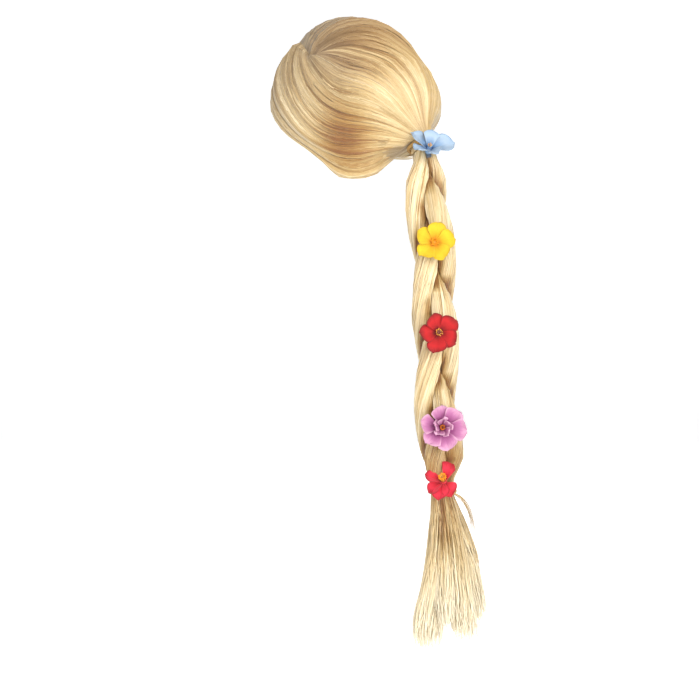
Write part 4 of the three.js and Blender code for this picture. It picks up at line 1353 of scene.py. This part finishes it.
def petalGrid(petal, number, flower, generator):
    form = petalForm
    turn, rootAngle, tipAngle, size = petal
    first, last = math.radians(rootAngle), math.radians(tipAngle)
    across = np.linspace(-1, 1, form["columns"])[None]
    along = np.linspace(0, 1, form["rows"])[:, None]
    length = form["length"] * size

    def bend(start, end):
        return length * (start * (along - along ** 2 / 2) + end * along ** 2 / 2)

    outwards = form["root"] + bend(math.cos(first), math.cos(last))
    swell = np.pi * mix(form["rootRound"], form["tipRound"], along ** form["broadest"])
    halfWidth = form["halfWidth"] * size * form["widen"] * np.sqrt(np.sin(swell))
    wedge = math.radians(180 / number + form["overlap"])
    halfWidth = np.minimum(halfWidth, outwards * math.tan(wedge))
    height = form["root"] + bend(math.sin(first), math.sin(last))
    phase = generator.uniform(0, 2 * np.pi, 2)
    firstWave, secondWave = (np.sin(w * np.pi * across + p) for w, p in zip(form["waves"], phase))
    wave = firstWave + form["secondWave"] * secondWave
    rise = form["cup"] * halfWidth * across ** 2 + form["lap"] * across * ease(along, *form["lapPlaces"])
    rise = rise + flower["ruffle"] * wave * along ** 2 * mix(form["middleRuffle"], 1, np.abs(across))
    fold = np.exp(-(across / form["creaseWidth"]) ** 2) * np.sin(np.pi * along) ** form["creaseFade"]
    rise = rise - form["crease"] * fold
    tip = (1 - np.abs(across)) ** form["tipSharp"] * along ** form["tipLength"]
    outwards = outwards + (flower["point"] - flower["notch"]) * size * tip
    x = outwards - rise * math.sin(first)
    y = halfWidth * across
    z = height + rise * math.cos(first)
    bearing = math.radians(turn)
    return np.stack(np.broadcast_arrays(
        x * math.cos(bearing) - y * math.sin(bearing), x * math.sin(bearing) + y * math.cos(bearing), z), -1)


def clothSolid(grid, thick):  # a curved sheet with two faces and a rim
    normals = unit(np.cross(np.gradient(grid, axis=1), np.gradient(grid, axis=0)))
    rows, columns, _ = grid.shape
    points = np.concatenate([(grid + normals * side * thick / 2).reshape(-1, 3) for side in (1, -1)])
    back = rows * columns
    faces = gridFaces(rows, columns) + [face[::-1] for face in gridFaces(rows, columns, back)]
    last = (rows - 1) * columns
    rim = list(range(columns)) + [r * columns + columns - 1 for r in range(1, rows)]
    rim += [last + c for c in range(columns - 2, -1, -1)] + [r * columns for r in range(rows - 2, -1, -1)]
    faces += stripFaces(rim, [corner + back for corner in rim])
    return points, faces


# stamens on an eye, with the calyx behind it

stamenForm = {
    "filament": 0.22,
    "eye": 3.0,
    "eyeFlat": 0.6,
    "antherLong": 1.4,
    "footRise": 0.8,
    "turns": (-0.25, 0.25),
    "aways": (0.65, 1),
    "leans": (0.5, 1.2),
    "sizes": (0.8, 1.15),
    # places of the parts on the colour ramp
    "calyxPart": 0.0,
    "eyePart": 0.34,
    "filamentPart": 0.67,
    "antherPart": 1.0,
    "colourPlaces": (0.05, 0.34, 0.67, 0.95),
    "grainScale": 1400.0,
    "grainDetail": 2.0,
    "grainTone": 0.3,
    "bump": 0.5,
    "bumpDepth": 0.0003,
}


def stamenTree():
    form = stamenForm
    lengths = ("Filament Radius", "Filament Length", "Anther Radius", "Eye Radius", "Calyx Radius")
    inputs = {**dict.fromkeys(lengths, "Float"), "Finish": "Material"}
    tree, given, sockets = newTree("flowerStamens", inputs)

    def ball(segments, rings, radius):
        inputs = {"Segments": segments, "Rings": rings, "Radius": radius}
        return addNode(tree, "GeometryNodeMeshUVSphere", inputs)

    def lifted(mesh, height, stretch, part):
        place = addNode(tree, "ShaderNodeCombineXYZ", {"Z": height})
        moved = addNode(tree, "GeometryNodeTransform", {
            "Geometry": mesh.outputs["Mesh"], "Translation": place.outputs[0], "Scale": (1, 1, stretch),
        })
        return storeValue(tree, moved.outputs[0], "part", part)

    def joined(*parts):
        union = addNode(tree, "GeometryNodeJoinGeometry")
        for part in parts:
            tree.links.new(part, union.inputs[0])
        return union.outputs[0]

    stalk = addNode(tree, "GeometryNodeMeshCylinder", {
        "Vertices": 6, "Radius": given["Filament Radius"], "Depth": given["Filament Length"],
    })
    half = addMath(tree, "MULTIPLY", given["Filament Length"], 0.5)
    knob = ball(8, 6, given["Anther Radius"])
    stamen = joined(lifted(stalk, half, 1, form["filamentPart"]),
                    lifted(knob, given["Filament Length"], form["antherLong"], form["antherPart"]))
    aim = namedValue(tree, "aim", "FLOAT_VECTOR")
    turned = addNode(tree, "FunctionNodeAlignRotationToVector", {"Vector": aim}, axis="Z")
    ring = addNode(tree, "GeometryNodeInstanceOnPoints", {
        "Points": given["Geometry"], "Instance": stamen, "Rotation": turned.outputs[0],
        "Scale": namedValue(tree, "size"),
    })
    eye = lifted(ball(20, 12, given["Eye Radius"]), given["Calyx Radius"], form["eyeFlat"], form["eyePart"])
    calyx = lifted(ball(20, 12, given["Calyx Radius"]), 0.0, 1, form["calyxPart"])
    finishTree(tree, joined(ring.outputs[0], eye, calyx), given["Finish"])
    return tree, sockets


stamenNodes, stamenSockets = stamenTree()


def stamenMaterial(name, colours):
    form = stamenForm
    material, tree, shader = newMaterial(name, Roughness=0.6)
    part = addNode(tree, "ShaderNodeAttribute", attribute_name="part")
    grain = addNoise(tree, objectPlace(tree), form["grainScale"], form["grainDetail"])
    share = addMath(tree, "ADD", part.outputs["Fac"], addShift(tree, grain, form["grainTone"]))
    addColour(tree, shader, share, list(zip(form["colourPlaces"], colours)))
    addBump(tree, shader, grain, form["bump"], form["bumpDepth"])
    return material


def flowerPlace(flower):  # middle of the flower and its own axes
    share = np.interp(-flower["up"], -plaitPoints[:, 2], plaitRun) / plaitLength
    _, _, out, aside = plaitFrame(share)
    facing = flower["facing"]
    ahead = unit(aside * facing[0] + np.array([0, 0, facing[1]]) + out * facing[2])
    right = unit(np.cross([0, 0, 1.0], ahead))
    upright = np.cross(ahead, right)
    node = bpy.data.objects[flower["name"] + "_centre"]
    corners = np.array([corner.co for corner in node.data.vertices]) / mm
    foot = (corners @ ahead).min() - petalForm["calyx"] - petalForm["gap"]
    middle = corners.mean(axis=0)
    return middle + ahead * (foot - middle @ ahead), right, upright, ahead


def flowerCloth(flower, place):
    middle, right, upright, ahead = place
    generator = np.random.default_rng(len(flower["name"]))
    points, faces, uv = [], [], []
    columns, rows = petalForm["columns"], petalForm["rows"]
    grid = np.stack(np.meshgrid(np.linspace(0, 1, columns), np.linspace(0, 1, rows)), -1)
    for ring in (flower["petals"], flower["inner"]):
        for row in ring:
            petal, petalFaces = clothSolid(petalGrid(row, len(ring), flower, generator), petalForm["cloth"])
            addPart(points, faces, middle + petal @ np.stack([right, upright, ahead]), petalFaces)
            uv += [grid.reshape(-1, 2)] * 2
    look = clothMaterial(flower["slot"] + "_weave", flower["colours"])
    piece = makePiece(flower["name"] + "_cloth", np.vstack(points), faces, look, "cloth", np.vstack(uv))
    settle(piece, flower["slot"], flower["name"] + "_petals")


def flowerCentre(flower, place):
    form = stamenForm
    middle, right, upright, ahead = place
    spec = flower["stamens"]
    count = spec["count"]
    generator = np.random.default_rng(count)
    turn = 2 * np.pi * (np.arange(count) + generator.uniform(*form["turns"], count)) / count
    away = spec["ring"] * generator.uniform(*form["aways"], count)
    lean = np.radians(spec["lean"] * generator.uniform(*form["leans"], count))
    foot = np.full(count, petalForm["calyx"] + form["footRise"])
    feet = np.stack([away * np.cos(turn), away * np.sin(turn), foot], -1)
    aim = np.stack([np.sin(lean) * np.cos(turn), np.sin(lean) * np.sin(turn), np.cos(lean)], -1)
    size = generator.uniform(*form["sizes"], count)
    mesh = bpy.data.meshes.new(flower["name"] + "_centre_feet")
    mesh.from_pydata((feet * mm).tolist(), [], [])
    aims = mesh.attributes.new("aim", "FLOAT_VECTOR", "POINT")
    aims.data.foreach_set("vector", aim.astype(np.float32).ravel())
    sizes = mesh.attributes.new("size", "FLOAT", "POINT")
    sizes.data.foreach_set("value", size.astype(np.float32))
    piece = placeObject(flower["name"] + "_stamens", mesh)
    lengths = {
        "Filament Radius": form["filament"], "Filament Length": spec["length"],
        "Anther Radius": spec["anther"], "Eye Radius": form["eye"], "Calyx Radius": petalForm["calyx"],
    }
    values = {label: length * mm for label, length in lengths.items()}
    values["Finish"] = stamenMaterial(flower["name"] + "_thread", flower["colours"][1:2] + flower["centre"])
    solid = growNodes(piece, stamenNodes, stamenSockets, values)
    rows = [[right[i], upright[i], ahead[i], middle[i] * mm] for i in range(3)]
    solid.transform(Matrix(rows + [[0, 0, 0, 1]]))
    settle(piece, "stamens", flower["name"] + "_centre")


clipFinish = {"grainScale": (900.0, 900.0, 60.0), "grainDetail": 3.0, "rough": (0.26, 0.46)}


def clipMaterial():
    form = clipFinish
    material, tree, shader = newMaterial("clip_steel", Metallic=1.0, Roughness=0.35)
    brushed = addNode(tree, "ShaderNodeMapping", {"Vector": objectPlace(tree), "Scale": form["grainScale"]})
    grain = addNoise(tree, brushed.outputs[0], 1.0, form["grainDetail"])
    addColour(tree, shader, grain, [(0.3, srgb(150, 152, 156)), (0.7, srgb(196, 198, 202))])
    tree.links.new(addRange(tree, grain, *form["rough"]), shader.inputs["Roughness"])
    return material


clipLook = clipMaterial()
for flower in flowerForms:
    place = flowerPlace(flower)
    flowerCloth(flower, place)
    flowerCentre(flower, place)
    bpy.data.objects[flower["name"] + "_clip"].material_slots[0].material = clipLook
print("flowers done")


# floor, light and camera

stageForm = {
    "floor": -0.82,
    "flat": 5.0,
    "bend": 2.5,
    "bendSteps": 13,
    "wall": 3.0,
    "columns": 72,
    "white": (0.93, 0.93, 0.93, 1),
    "glow": 0.21,
    "seenGlow": 0.36,  # added where the camera looks at it, not to the light on the wig
    "skyLight": 0.25,
    "skySeen": 1.0,
}


def makeStage():  # a pale floor that bends up into a wall, so that no edge shows
    form = stageForm
    columns = form["columns"]
    turn = np.linspace(0, 2 * np.pi, columns, endpoint=False)
    bends = np.linspace(0, np.pi / 2, form["bendSteps"])
    reach = np.append(form["flat"] + form["bend"] * np.sin(bends), form["flat"] + form["bend"])
    height = np.append(form["bend"] * (1 - np.cos(bends)), form["bend"] + form["wall"]) + form["floor"]
    rings = np.stack(np.broadcast_arrays(
        reach[:, None] * np.cos(turn), reach[:, None] * np.sin(turn), height[:, None]), -1)
    faces = [list(range(columns))]
    for low in range(0, (len(reach) - 1) * columns, columns):
        high = low + columns
        for column in range(columns):
            onward = (column + 1) % columns
            faces.append([low + onward, low + column, high + column, high + onward])
    mesh = bpy.data.meshes.new("floor")
    mesh.from_pydata(rings.reshape(-1, 3).tolist(), [], faces)
    mesh.shade_smooth()
    material, tree, shader = newMaterial("floor_paint", Base_Color=form["white"], Roughness=0.9,
                                         Emission_Color=(1, 1, 1, 1), Emission_Strength=form["glow"])
    rays = addNode(tree, "ShaderNodeLightPath")
    seen = addMath(tree, "MULTIPLY", rays.outputs["Is Camera Ray"], form["seenGlow"])
    white = addNode(tree, "ShaderNodeEmission", {"Strength": seen})
    both = addNode(tree, "ShaderNodeAddShader", {0: shader.outputs["BSDF"], 1: white.outputs["Emission"]})
    tree.links.new(both.outputs[0], tree.nodes["Material Output"].inputs["Surface"])
    mesh.materials.append(material)
    placeObject("floor", mesh)


def makeWorld():
    world = bpy.data.worlds.new("studio")
    world.use_nodes = True
    tree = world.node_tree
    tree.nodes.clear()
    rays = addNode(tree, "ShaderNodeLightPath")
    strength = addRange(tree, rays.outputs["Is Camera Ray"], stageForm["skyLight"], stageForm["skySeen"])
    sky = addNode(tree, "ShaderNodeBackground", {"Color": (1, 1, 1, 1), "Strength": strength})
    addNode(tree, "ShaderNodeOutputWorld", {"Surface": sky.outputs["Background"]})
    bpy.context.scene.world = world


lampTarget = (0, 0.05, -0.3)
lampForms = [  # in metres and watts
    {"name": "key", "place": (0.45, 1.6, -0.02), "size": 1.3, "power": 26},  # right of the camera
    {"name": "fill", "place": (1.7, 0.0, 0.1), "size": 1.6, "power": 14},
    {"name": "front", "place": (1.25, 1.3, -0.75), "size": 1.0, "power": 11},  # low, into the tail's slots
    {"name": "far", "place": (-1.5, -1.4, 0.3), "size": 1.6, "power": 22},  # on the side away from the camera
]


def addLamp(form):
    lamp = bpy.data.lights.new(form["name"], "AREA")
    lamp.size = form["size"]
    lamp.energy = form["power"]
    light = placeObject(form["name"], lamp)
    light.location = form["place"]
    aim = Vector(lampTarget) - Vector(form["place"])
    light.rotation_euler = aim.to_track_quat("-Z", "Y").to_euler()


cameraForm = {"place": (0.7143, 0.7183, -0.418), "azimuth": 135, "focalPixels": 770, "imagePixels": 700}


def makeCamera():
    lens = bpy.data.cameras.new("camera")
    lens.sensor_width = 36
    lens.lens = lens.sensor_width * cameraForm["focalPixels"] / cameraForm["imagePixels"]
    camera = placeObject("camera", lens)
    camera.location = cameraForm["place"]
    camera.rotation_euler = (math.pi / 2, 0, math.radians(cameraForm["azimuth"]))
    bpy.context.scene.camera = camera


makeStage()
makeWorld()
for form in lampForms:
    addLamp(form)
makeCamera()
bpy.context.scene.view_settings.view_transform = "Standard"
print("stage, lights and camera done")
